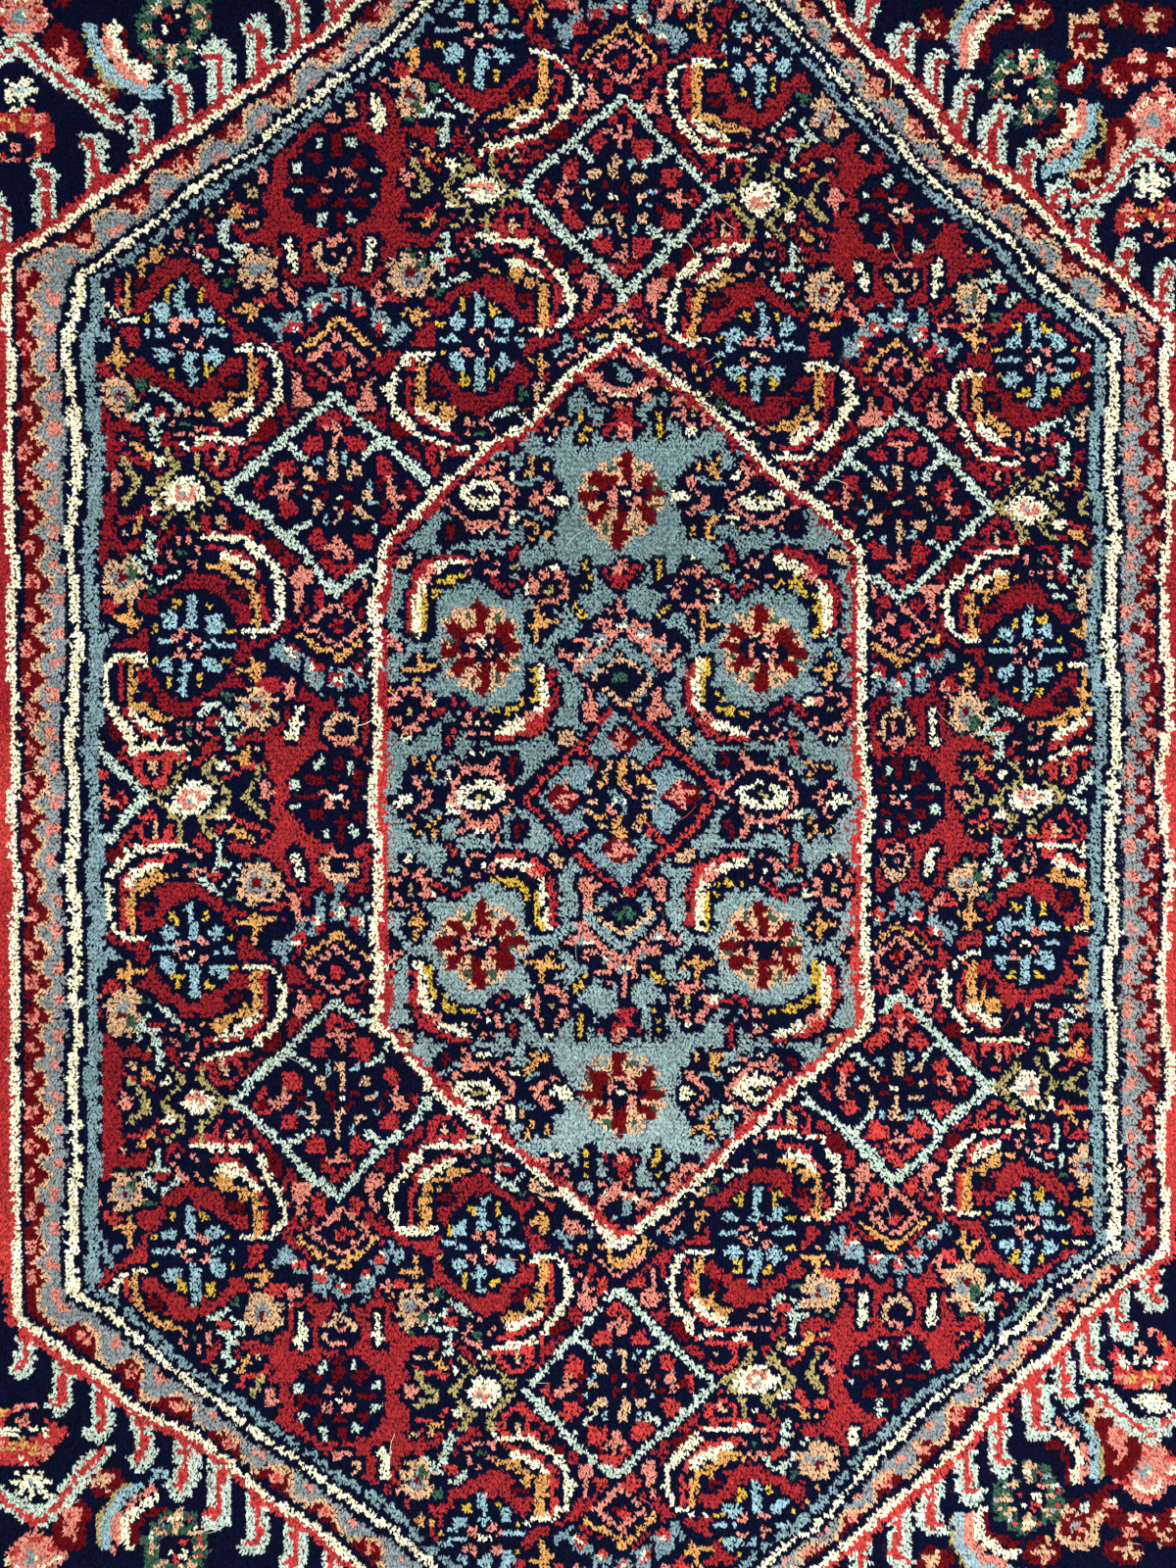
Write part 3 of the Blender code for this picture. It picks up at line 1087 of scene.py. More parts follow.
@dataclass(frozen=True)
class Corner:
    """One corner of the rug beyond the diagonal stripes, its places in knots.

    sign_x and sign_y point from the rug's middle to the corner. Each leaf of the
    comb is given by its foot's place and its height.
    """

    sign_x: int
    sign_y: int
    floret: Point
    pear: Point
    star: Point
    rosette: Point
    blossom: Point
    palmette: Point
    bend: Point
    vine: tuple[Point, ...]
    comb: tuple[Triple, ...]
    leaf_width: float = 5.1
    extras: tuple[Point, ...] = ()
    far_bend: tuple[Point, ...] = ()
    frame: tuple[Point, ...] = ()
    mint: tuple[Point, ...] = ()

    def draw(self, chart: Chart) -> None:
        """Place the corner's motifs on a chart.

        Args:
            chart: The chart to draw on.
        """
        turn_x, turn_y = -self.sign_x, self.sign_y
        vine = line(MINT, 4.4, *self.vine) + line(SCARLET, 1.6, *self.vine)
        for motif, places, flip_x, flip_y in (
                (crown_palmette(), (self.palmette,), turn_x, turn_y),
                (half_open_flower(), (self.blossom,), turn_x, turn_y),
                (small_floret(), self.extras, turn_x, turn_y),
                (pear(), (self.pear,), turn_x, turn_y),
                (small_floret(), (self.star,), turn_x, turn_y),
                (curl(), (self.bend,), turn_x, turn_y),
                (curl(), self.far_bend, -turn_x, -turn_y),
                (framed_floret(), self.frame, turn_x, turn_y),
                (mint_floret(), self.mint, turn_x, turn_y),
                (green_rosette(), (self.rosette,), turn_x, turn_y),
                (vine, ((0.0, 0.0),), 1, 1),
                (white_floret(), (self.floret,), turn_x, turn_y)):
            for x, y in places:
                chart.place(motif, x, y, flip_x, flip_y)
        for x, y, height in self.comb:
            chart.place(comb_leaf(height, self.leaf_width), x, y, self.sign_x, self.sign_y)


CORNERS = (
    Corner(-1, 1, floret=(-121.2, 142.9), pear=(-112.8, 148.9), star=(-105.4, 142.4),
           rosette=(-89.9, 156.1), blossom=(-122.6, 132.6), palmette=(-121, 158),
           bend=(-104.5, 147.5),
           vine=((-129, 146.4), (-121.6, 152), (-112, 144.4), (-100.6, 135.6)),
           comb=((-125.6, 111, 12), (-116.2, 116.4, 13.4), (-105.6, 123.6, 11.6),
                 (-96.6, 129.6, 10.2), (-88.4, 134.2, 12.8), (-80.4, 140.4, 13.6),
                 (-72.9, 145.4, 13.2), (-65.6, 150.6, 13), (-57.6, 155.8, 12))),
    Corner(1, 1, floret=(107.7, 125.1), pear=(101.4, 130.8), star=(94.8, 126.2),
           rosette=(81.9, 143.5), blossom=(107.6, 115.8), palmette=(108, 137.4), bend=(94, 131.4),
           vine=((113.6, 127), (106.6, 131.8), (99, 125.2), (92.2, 119)),
           comb=((110, 97, 12.4), (102.4, 103, 11.4), (95, 109.4, 10.6), (88.4, 116.2, 9),
                 (81.8, 121.4, 11), (75.8, 127.8, 12.6), (69.5, 133.6, 12.6), (63.3, 140.4, 12),
                 (56.5, 145.8, 12.6), (49.2, 152.2, 12)), leaf_width=4.4,
           extras=((83.4, 157.6), (107, 157.6), (62.6, 157), (100.6, 158.6)),
           far_bend=((69, 157.4),), frame=((93.7, 153.8),), mint=((92.3, 146.9),)),
    Corner(-1, -1, floret=(-121.9, -142), pear=(-114.2, -149.4), star=(-106.8, -141.8),
           rosette=(-91.6, -156.6), blossom=(-123, -130.6), palmette=(-121.6, -158.4),
           bend=(-104.8, -146.6),
           vine=((-129, -144.2), (-121.6, -150), (-113.4, -142.6), (-107.4, -136)),
           comb=((-123.4, -108.8, 11.6), (-115, -114.4, 14.2), (-107, -121.2, 13.2),
                 (-98.5, -127.4, 14), (-90.4, -132.4, 14.2), (-83, -137.6, 14.2),
                 (-74.8, -143.8, 14), (-67.4, -149.6, 13.6), (-59.6, -155.4, 12))),
    Corner(1, -1, floret=(110.2, -125), pear=(103.8, -133), star=(98.2, -127.6),
           rosette=(84.8, -145.7), blossom=(108.6, -115), palmette=(109.8, -139.4),
           bend=(97.4, -132.4),
           vine=((115, -128.6), (110.4, -132.4), (103.6, -126.8), (97, -121.4)),
           comb=((110.2, -95.8, 11.6), (103.8, -101.8, 11.6), (97.4, -108.8, 11.4),
                 (91.4, -115, 12.2), (85.8, -121.8, 12), (78.9, -128.2, 12.4), (71.5, -134.4, 12.8),
                 (64.4, -141.4, 12.4), (58.2, -147.6, 12.4), (51, -153.6, 11.4)), leaf_width=5.1,
           extras=((104.8, -156.4), (112.6, -152.4), (88, -157.6), (65.6, -158.4)),
           far_bend=((72.4, -157.2),), frame=((94.6, -152.6),), mint=((96.9, -147.6),)),
)


def along_path(path: Sequence[Point], u: Array, v: Array) -> tuple[Array, Array]:
    """Measure places from a path.

    Args:
        path: The path's points.
        u: Each place across.
        v: Each place along.

    Returns:
        Each place's distance from the path, and its run along it.
    """
    nearest = np.full(u.shape, np.inf)
    run = np.zeros(u.shape)
    passed = 0.0
    for start, end in zip(path, path[1:]):
        away, share = from_segment(start, end, u, v)
        length = math.dist(start, end)
        run = np.where(away < nearest, passed + share * length, run)
        nearest = np.minimum(away, nearest)
        passed += length
    return nearest, run


@dataclass(frozen=True)
class Stripe:
    """One run of the stripes round the field, in knots, the diagonal ones as given here.

    Its wavy border has a low and a swing, as shares of the way in from its outer edge.
    """

    path: tuple[Point, ...]
    unit: float
    pale_width: float = 1.3
    rim_width: float = 1.6
    navy_width: float = 1.1
    sky_width: float = 1.6
    seam: Yarn = TAN
    upright: bool = False
    rim_low: float = 0.12
    rim_swing: float = 0.60
    floret_reach: float = 0.34
    squareness: float = 0.85

    def draw(self, knots: Array, mine: Array, run: Array, guard: Array,
             outer: Array) -> None:
        """Draw the stripes of this run over a chart.

        Args:
            knots: The chart, changed in place.
            mine: Which knots this run is nearest to.
            run: How far along the run each knot lies.
            guard: How far each knot lies beyond the inner stripe's line.
            outer: How far each knot lies beyond the outer stripe's line.
        """
        half_pale, half_rim = 0.5 * self.pale_width, 0.5 * self.rim_width
        inner = half_pale + self.navy_width
        sky = inner + self.sky_width
        patchy = np.sin(2.0 * math.pi * run / 5.3 + 1.6 * np.sin(run / 3.7)) > -0.93
        halo, outer_gap = (0.5, 1.1) if self.upright else (1.1, 1.5)
        inner_gap = 1.25
        from_out = -outer - half_rim - outer_gap
        from_in = guard - half_pale - inner_gap
        zone = (from_out > 0.0) & (from_in > 0.0)
        reach = np.clip(from_out / np.maximum(from_out + from_in, 0.5), 0.0, 1.0)
        turn = run / self.unit
        swing = np.clip(0.5 - self.squareness * np.cos(2.0 * math.pi * turn), 0.0, 1.0)
        rim = self.rim_low + self.rim_swing * swing
        knot = 1.0 / np.maximum(from_out + from_in, 4.0)
        from_bud = np.abs((turn + 0.5) % 1.0 - 0.5) * self.unit
        from_floret = np.abs(turn % 1.0 - 0.5) * self.unit
        floret = np.hypot(from_floret / 1.6, (reach - self.floret_reach) / knot / 1.3)
        ends = (run > 3.0) & (run < run.max() - 3.0)
        for mask, yarn in (
                ((guard > -sky - halo) & (outer < half_rim + 1.2), NAVY),
                ((guard > -sky) & (guard < -inner) & (patchy | self.upright), SEA),
                (np.abs(guard) < half_pale, CREAM),
                (zone, WINE),
                (zone & (reach > rim), ASH),
                (zone & (np.abs(reach - rim) < 0.6 * knot), self.seam),
                (zone & (reach > 0.66) & (reach < 0.93) & (from_bud < 1.3), PINK),
                (zone & (floret < 1.0), PINK),
                (zone & (floret < 0.35), SCARLET),
                (np.abs(outer) < half_rim, CREAM),
                ((outer > half_rim) & (outer < half_rim + 1.5), SCARLET),
                ((outer > half_rim + 0.9) & ends & self.upright, SCARLET)):
            knots[mask & mine] = yarn.value


STRIPES = (
    Stripe(((-112.6, -102.6), (-111, 105.8)), unit=6.8, pale_width=2.1, rim_width=1.8,
           navy_width=1.5, sky_width=2.9, seam=TAN, upright=True, rim_low=0.3, rim_swing=0.33,
           floret_reach=0.14, squareness=0.5),
    Stripe(((101.7, -92), (100.2, 93.4)), unit=5.4, pale_width=2.2, rim_width=1.8, navy_width=1.0,
           sky_width=2.2, seam=ASH, upright=True, rim_low=0.34, rim_swing=0.36, floret_reach=0.16,
           squareness=0.5),
    Stripe(((-111, 105.8), (-39.1, 160), (-4, 195)), unit=12.5),
    Stripe(((100.2, 93.4), (32.9, 157.1), (-4, 195)), unit=10.6),
    Stripe(((-112.6, -102.6), (-47.1, -151.6), (-4, -190)), unit=12.5),
    Stripe(((101.7, -92), (34, -156.1), (-4, -190)), unit=10.6),
)


def draw_stripes(knots: Array, u: Array, v: Array, layout: Layout) -> None:
    """Draw the guard stripes between the field and the corners over a chart.

    Args:
        knots: The chart, changed in place.
        u: Each knot's place across.
        v: Each knot's place along.
        layout: The outlines of the pattern's large parts.
    """
    guard = -inside_distance(layout.guard, u, v)
    outer = -inside_distance(layout.outer, u, v)
    runs = [along_path(stripe.path, u, v) for stripe in STRIPES]
    nearest = np.argmin(np.stack([away for away, _ in runs]), axis=0)
    for number, (stripe, (_, run)) in enumerate(zip(STRIPES, runs)):
        stripe.draw(knots, nearest == number, run, guard, outer)


def outlined_medallion(knots: Array, inner: Array, layout: Layout, u: Array,
                       v: Array, rng: np.random.Generator) -> None:
    """Lay the medallion's chart over the field's, inside its pale outline.

    Args:
        knots: The field's chart, changed in place.
        inner: The medallion's chart.
        layout: The outlines of the pattern's large parts.
        u: Each knot's place across.
        v: Each knot's place along.
        rng: The source of the outline's unevenness.
    """
    uneven = rng.uniform(-layout.ragged, layout.ragged, u.shape)
    depth = inside_distance(layout.medallion, u, v) + uneven
    slanting = np.abs(v) > layout.shoulder
    for slanting_edge, upright_edge, yarn in ((-1.9, -2.3, NAVY), (-0.7, -1.1, CREAM),
                                              (0.8, 0.8, SCARLET)):
        knots[depth > np.where(slanting, slanting_edge, upright_edge)] = yarn.value
    within = depth > np.where(slanting, 2.0, 2.3)
    knots[within] = inner[within]


def rug_chart() -> Array:
    """Draw the whole pattern.

    Returns:
        Rows of knots, one number of a wool for each.
    """
    layout = Layout()
    rng = np.random.default_rng(CHART_SEED)
    across, along = np.meshgrid(np.arange(KNOTS_ACROSS) - float(MIDDLE_COLUMN),
                                np.arange(KNOTS_ALONG) - float(MIDDLE_ROW))
    across = across + drift(across, along, rng)
    along = along + drift(across, along, rng)
    u = across + rng.uniform(-KNOT_JITTER, KNOT_JITTER, across.shape)
    v = along + rng.uniform(-KNOT_JITTER, KNOT_JITTER, across.shape)
    quarters = np.arange(len(layout.columns)) - len(layout.columns) // 2
    lattice_across = np.interp(u, layout.columns, quarters * layout.column_pitch)

    ground = Chart(lattice_across, v / (1.0 - layout.fan * u), MADDER)
    field_lattice().place(ground, range(-5, 6), range(-6, 7))
    middle = Chart(u - 0.4, v, TEAL)
    medallion_lattice().place(middle, range(-2, 3), range(-4, 5))
    for sign in (1, -1):
        ground.place(apex_spray(), 0.5, sign * 91.0, 1, sign)
        middle.place(apex_flower(), 0.4, sign * 86.0, 1, sign)
    knots = ground.draw()
    outlined_medallion(knots, middle.draw(), layout, u, v, rng)

    corners = Chart(u, v, NAVY)
    for corner in CORNERS:
        corner.draw(corners)
    beyond = inside_distance(layout.outer, u, v) < 0.0
    knots[beyond] = corners.draw()[beyond]
    draw_stripes(knots, u, v, layout)
    return knots


DYES = {
    MADDER: (132, 23, 34), TEAL: (128, 153, 155), NAVY: (2, 7, 37), SCARLET: (160, 37, 45),
    WINE: (98, 5, 14), SEA: (126, 154, 160), SKY: (146, 182, 190), MINT: (193, 212, 196),
    CREAM: (250, 243, 206), PINK: (217, 136, 118), GOLD: (213, 157, 90), MUSTARD: (206, 170, 66),
    OLIVE: (172, 156, 100), TAN: (213, 172, 133), MOSS: (54, 90, 72), ASH: (138, 148, 150),
}


def linear(*levels: int) -> tuple[float, ...]:
    """Return a screen colour's levels, 0 to 255, in linear light."""
    shares = [level / 255.0 for level in levels]
    return tuple(share / 12.92 if share <= 0.04045 else ((share + 0.055) / 1.055) ** 2.4
                 for share in shares)


@dataclass(frozen=True)
class DyeBox:
    """How unevenly the wools took their dyes.

    The reds and the teals differ in bands of rows, by weights at rows that are counted
    from the rug's middle, and a knot differs from the next by the lot's spread.
    """

    lot_spread: float = 0.07
    row_spread: float = 0.03
    smoothed_rows: int = 41
    seed: int = 23
    red_rows: tuple[float, ...] = (-163, -90, -78, -20, -12, 10, 18, 80, 92, 163)
    red_weights: tuple[float, ...] = (0.7, 0.7, 0.25, 0.25, 0.8, 0.75, -0.1, -0.1, 0.2, 0.2)
    lower_right_weight: float = 0.8
    lower_right_start: float = 20.0
    fade_across: float = 25.0
    fade_along: float = 20.0
    teal_rows: tuple[float, ...] = (-95, -20, 20, 95)
    teal_weights: tuple[float, ...] = (0.7, 0.4, -0.2, -0.2)
    brighter_red: Triple = (0.70, 2.20, 0.90)
    brighter_teal: Triple = (0.45, 0.30, 0.26)

    def dyed(self, knots: Array) -> Array:
        """Return the colour of every knot, with its dye lot's unevenness.

        Args:
            knots: The chart, one number of a wool for each knot.

        Returns:
            Rows of knots with linear red, green and blue.
        """
        rng = np.random.default_rng(self.seed)
        colour = np.array([linear(*DYES[yarn]) for yarn in Yarn])[knots]
        rows = np.cumsum(rng.normal(0.0, self.row_spread, len(knots)))
        evener = np.full(self.smoothed_rows, 1.0 / self.smoothed_rows)
        rows -= np.convolve(rows, evener, mode="same")
        colour = colour * (1.0 + rows)[:, None, None] * self._abrash(knots)
        lot = rng.normal(0.0, self.lot_spread, knots.shape)
        return np.clip(colour * (1.0 + lot)[..., None], 0.0, 1.0)

    def _abrash(self, knots: Array) -> Array:
        """Let the dyes depart in bands of rows, as batches of wool do.

        Args:
            knots: The chart.

        Returns:
            What each knot's red, green and blue are multiplied by.
        """
        row = (np.arange(KNOTS_ALONG) - float(MIDDLE_ROW))[:, None]
        column = np.arange(KNOTS_ACROSS) - float(MIDDLE_COLUMN)
        lower_right = (np.clip((column - self.lower_right_start) / self.fade_across, 0.0, 1.0)
                       * np.clip(-row / self.fade_along, 0.0, 1.0))
        reds = np.maximum(np.interp(row, self.red_rows, self.red_weights),
                          self.lower_right_weight * lower_right)
        teals = np.interp(row, self.teal_rows, self.teal_weights) + 0.0 * column
        change = np.ones(knots.shape + (3,))
        for yarns, weight, brighter in (((MADDER, SCARLET), reds, self.brighter_red),
                                        ((TEAL,), teals, self.brighter_teal)):
            dyed = np.isin(knots, [yarn.value for yarn in yarns])
            change[dyed] += weight[dyed][:, None] * np.array(brighter)
        return change


class NodeBench:
    """A node tree under construction, with short ways to add and link nodes."""

    def __init__(self, tree: bpy.types.NodeTree) -> None:
        """Keep the node tree that the nodes are added to."""
        self.tree = tree

    def feed(self, node: bpy.types.Node, inputs: dict[str | int, object]) -> None:
        """Set inputs of a node.

        Args:
            node: The node.
            inputs: By name or place, the value of each or the socket that is linked to it.
        """
        for key, value in inputs.items():
            if isinstance(value, Socket):
                self.tree.links.new(value, node.inputs[key])
            else:
                node.inputs[key].default_value = value

    def add(self, kind: str, inputs: dict[str | int, object] | None = None,
            **settings: object) -> bpy.types.Node:
        """Add a node.

        Args:
            kind: The node's type name.
            inputs: What its inputs are fed.
            settings: Properties to set on it.

        Returns:
            The new node.
        """
        node = self.tree.nodes.new(kind)
        for name, value in settings.items():
            setattr(node, name, value)
        self.feed(node, inputs or {})
        return node

    def math(self, operation: str, first: object, second: object = 0.0) -> Socket:
        """Return the result of a sum of two values, each a socket or a number."""
        return self.add("ShaderNodeMath", {0: first, 1: second}, operation=operation).outputs[0]

    def vector(self, operation: str, first: Socket, second: object) -> Socket:
        """Return the result of a vector's sum with a vector, or its scaling by a number."""
        place = "Scale" if operation == "SCALE" else 1
        node = self.add("ShaderNodeVectorMath", {0: first, place: second}, operation=operation)
        return node.outputs[0]


def started_material(name: str, inputs: dict[str, object]) -> tuple[Material, NodeBench,
                                                                    bpy.types.Node]:
    """Start a material.

    Args:
        name: Its name.
        inputs: What its shader's inputs are fed.

    Returns:
        The material, its bench and its shader.
    """
    made = bpy.data.materials.new(name)
    made.use_nodes = True
    bench = NodeBench(made.node_tree)
    shader = made.node_tree.nodes["Principled BSDF"]
    bench.feed(shader, inputs)
    return made, bench, shader


@dataclass(frozen=True)
class ShadedWoolFinish:
    """Matt dyed wool that reads its colour from the yarn's dye attribute, darkened lower down as painted
    shade.

    Lengths are in metres and heights are above the floor.
    """

    name: str
    shadow_height: float = 0.0079
    lit_height: float = 0.0106
    shadow: float = 0.55
    grain_size: float = 0.0011
    grain_mottle: float = 0.24
    fibre_size: float = 0.00035
    fibre_mottle: float = 0.24
    relief: float = 0.0003
    relief_strength: float = 0.6
    roughness: float = 0.9
    sheen: float = 0.008
    sheen_roughness: float = 0.6
    specular: float = 0.06

    def make(self) -> Material:
        """Build the material.

        Returns:
            The material.
        """
        wool, bench, shader = started_material(self.name, {
            "Roughness": self.roughness, "Sheen Weight": self.sheen,
            "Sheen Roughness": self.sheen_roughness, "Specular IOR Level": self.specular})
        place = bench.add("ShaderNodeTexCoord").outputs["Object"]
        dye = bench.add("ShaderNodeAttribute", attribute_name=DYE).outputs["Color"]
        # Painted shade: the dye is scaled from shadow at shadow_height up to 1 at lit_height, so the pile
        # darkens towards its roots.
        depth = bench.add("ShaderNodeMapRange", {
            "Value": bench.add("ShaderNodeSeparateXYZ", {0: place}).outputs["Z"],
            "From Min": self.shadow_height, "From Max": self.lit_height,
            "To Min": self.shadow, "To Max": 1.0}, clamp=True).outputs[0]
        grain, grain_level = self._speckle(bench, place, self.grain_size, self.grain_mottle)
        fibre, fibre_level = self._speckle(bench, place, self.fibre_size, self.fibre_mottle)
        level = bench.math("MULTIPLY", depth, bench.math("MULTIPLY", grain_level, fibre_level))
        bump = bench.add("ShaderNodeBump", {
            "Strength": self.relief_strength, "Distance": self.relief,
            "Height": bench.math("ADD", grain, fibre)})
        bench.feed(shader, {"Base Color": bench.vector("SCALE", dye, level),
                            "Normal": bump.outputs[0]})
        return wool

    def _speckle(self, bench: NodeBench, place: Socket, size: float,
                 mottle: float) -> tuple[Socket, Socket]:
        """Add an uneven speckle.

        Args:
            bench: The material's bench.
            place: Where on the object the speckle is read.
            size: The size of its grains.
            mottle: How far its level departs from 1.

        Returns:
            The speckle, and a level round 1 that follows it.
        """
        speckle = bench.add("ShaderNodeTexNoise", {
            "Vector": place, "Scale": 1.0 / size, "Detail": 1.5, "Distortion": 0.8}).outputs["Fac"]
        level = bench.add("ShaderNodeMapRange", {
            "Value": speckle, "From Min": 0.3, "From Max": 0.7,
            "To Min": 1.0 - mottle, "To Max": 1.0 + mottle})
        return speckle, level.outputs[0]


@dataclass(frozen=True)
class CottonFinish:
    """Knot backs and undyed cotton, ribbed in rows, on the underside and the cut edges, with painted shade
    in the furrows and a slight painted highlight on the ridges.
    """

    name: str = "knot_backs"
    pitch: float = KNOT_PITCH
    furrow_shade: float = 0.45
    ridge_highlight: float = 1.05
    fibres: float = 1500.0
    fibre_share: float = 0.5
    relief: float = 0.0004
    relief_strength: float = 0.9
    roughness: float = 0.92
    specular: float = 0.2

    def make(self) -> Material:
        """Build the material.

        Returns:
            The material.
        """
        backs, bench, shader = started_material(self.name, {
            "Roughness": self.roughness, "Specular IOR Level": self.specular})
        dye = bench.add("ShaderNodeAttribute", attribute_name=DYE).outputs["Color"]
        place = bench.add("ShaderNodeTexCoord").outputs["Object"]
        apart = bench.add("ShaderNodeSeparateXYZ", {0: place})
        ribs = []
        for axis, pitch in (("X", 0.5 * self.pitch), ("Y", self.pitch)):
            turn = bench.math("MULTIPLY", apart.outputs[axis], math.pi / pitch)
            ribs.append(bench.math("ABSOLUTE", bench.math("SINE", turn)))
        nodule = bench.math("MULTIPLY", *ribs)
        fibres = bench.add("ShaderNodeTexNoise", {"Scale": self.fibres, "Vector": place})
        height = bench.math("ADD", nodule, bench.math("MULTIPLY", fibres.outputs["Fac"],
                                                      self.fibre_share))
        # Painted shade in the furrows between knot backs and a slight painted highlight on their ridges.
        shade = bench.add("ShaderNodeMapRange", {
            "Value": nodule, "To Min": self.furrow_shade, "To Max": self.ridge_highlight}).outputs[0]
        bump = bench.add("ShaderNodeBump", {
            "Strength": self.relief_strength, "Distance": self.relief, "Height": height})
        bench.feed(shader, {"Base Color": bench.vector("SCALE", dye, shade),
                            "Normal": bump.outputs[0]})
        return backs


@dataclass(frozen=True)
class Slab:
    """The rug's outline and levels in metres, taken from the frame and as its source wanders."""

    half_width: float
    half_length: float
    top: float
    foundation: float = 0.0035
    edge_wander: float = 0.0010
    unevenness: float = 0.0006
    long_share: float = 0.35
    short_share: float = 0.15
    waves_across: int = 3
    waves_along: int = 4

    def dip(self, along: Array, waves: int) -> Array:
        """Return how far a cut edge stands in from its straight line, at along in -1 to 1."""
        return 0.5 * self.edge_wander * (1.0 - np.cos(math.pi * waves * (along + 1.0)))

    def place(self, across: Array, along: Array) -> tuple[Array, Array]:
        """Return the plan places of points given as shares of the half sides."""
        return (across * (self.half_width - self.dip(along, self.waves_along)),
                along * (self.half_length - self.dip(across, self.waves_across)))

    def pile_height(self, x: Array, y: Array) -> Array:
        """Return the pile's height at a place, where it was shorn a little unevenly."""
        long_wave = np.cos(9.0 * x + 2.0) * np.cos(7.0 * y - 1.0)
        short_wave = np.sin(21.0 * x - 13.0 * y)
        return self.top - self.unevenness * (0.5 - self.long_share * long_wave
                                             - self.short_share * short_wave)


def placed_object(name: str, data: bpy.types.ID) -> Piece:
    """Return a new object of some data, in the scene's collection."""
    made = bpy.data.objects.new(name, data)
    bpy.context.scene.collection.objects.link(made)
    return made


def mesh_object(name: str, points: Array, faces: Sequence[Sequence[int]]) -> Piece:
    """Make an object from points and faces, in the scene's collection.

    Args:
        name: The object's name.
        points: One row of x, y and z for each point.
        faces: The points of each face.

    Returns:
        The new object.
    """
    mesh = bpy.data.meshes.new(name)
    mesh.from_pydata([tuple(point) for point in points.tolist()], [], list(faces))
    return placed_object(name, mesh)


def shape_object(name: str, points: Array, faces: Sequence[Sequence[int]],
                 plan: Sequence[Point]) -> Piece:
    """Make a smooth object with a plan map of its faces.

    Args:
        name: The object's name.
        points: One row of x, y and z for each point.
        faces: The points of each face.
        plan: The place on the map of each face's each corner.

    Returns:
        The new object.
    """
    made = mesh_object(name, points, faces)
    made.data.uv_layers.new(name="plan").data.foreach_set("uv", np.array(plan).ravel())
    made.data.polygons.foreach_set("use_smooth", [True] * len(faces))
    return made


def put_dye(made: Piece, coat: Array, domain: str = "POINT") -> None:
    """Give each point or corner of an object its dye, a row of red, green and blue."""
    dye = made.data.attributes.new(DYE, "FLOAT_COLOR", domain)
    dye.data.foreach_set("color", np.column_stack((coat, np.ones(len(coat)))).ravel())


@dataclass(frozen=True)
class YarnEnd:
    """One shape of a cut yarn end: a leaning grain on a long three-cornered base.

    Lengths are in metres. The grain stands on its base with its tip at height 0, and
    slant is the share of its length that the base's third corner lies off the middle.
    """

    width: float
    length: float
    depth: float
    slant: float
    lean: float

    def make(self, name: str) -> Piece:
        """Build the grain with a plan map of its faces.

        Args:
            name: Its name.

        Returns:
            The grain.
        """
        half_width, half_length = 0.5 * self.width, 0.5 * self.length
        points = np.array((
            (-half_width, half_length, -self.depth),
            (-0.3 * half_width, -half_length, -self.depth),
            (half_width, self.slant * self.length, -self.depth),
            (-0.1 * half_width, -self.lean, 0.0),
        ))
        faces = ((0, 1, 3), (1, 2, 3), (2, 0, 3))
        x, y, z = points[np.ravel(faces)].T
        shift = np.where(z > -0.5 * self.depth, self.lean, 0.0)
        plan = np.column_stack((0.5 + 0.8 * x / self.width, 0.5 + 0.8 * (y + shift) / self.length))
        return shape_object(name, points, faces, plan)


@dataclass(frozen=True)
class Strand:
    """One shape of a strand that stands on height 0, three-sided with a blunt tip.

    Lengths are in metres. Each level gives a height as a share of the whole, a
    thickness as a share of the width, and how far the strand has bent aside there.
    """

    width: float
    height: float
    levels: tuple[Triple, ...]

    def make(self, name: str) -> Piece:
        """Build the strand with a plan map of its faces.

        Args:
            name: Its name.

        Returns:
            The strand.
        """
        sides = 3
        turn = 2.0 * math.pi * np.arange(sides) / sides
        rings = [np.column_stack((0.5 * self.width * thick * np.cos(turn) + aside,
                                  0.5 * self.width * thick * np.sin(turn),
                                  np.full(sides, self.height * share)))
                 for share, thick, aside in self.levels]
        tip = rings[-1].mean(axis=0) + np.array((0.0, 0.0, 0.3 * self.width))
        points = np.concatenate(rings + [tip[None, :]])
        last = len(points) - 1
        faces = [(low + i, low + (i + 1) % sides, low + sides + (i + 1) % sides, low + sides + i)
                 for low in range(0, last - sides, sides) for i in range(sides)]
        faces += [(last - sides + i, last - sides + (i + 1) % sides, last) for i in range(sides)]
        plan: list[Point] = []
        for number, face in enumerate(faces):
            left = 0.1 + 0.8 * number / len(faces)
            right = left + 0.7 / len(faces)
            plan += ((left, 0.1), (right, 0.1), (right, 0.9), (left, 0.9))[:len(face)]
        return shape_object(name, points, faces, plan)


def bed_of(points: Array, coat: Array, stance: Array) -> Piece:
    """Make the points that yarn ends stand on.

    Args:
        points: One row of x, y and z for each yarn end.
        coat: One row of red, green and blue for each.
        stance: One row of turns about x, y and z for each, or one row for all.

    Returns:
        An object of loose points with their dyes and stances.
    """
    bed = mesh_object("bed", points, ())
    put_dye(bed, np.clip(coat, 0.0, 1.0))
    stands = bed.data.attributes.new("stance", "FLOAT_VECTOR", "POINT")
    stands.data.foreach_set("vector", np.broadcast_to(stance, points.shape).astype(float).ravel())
    return bed


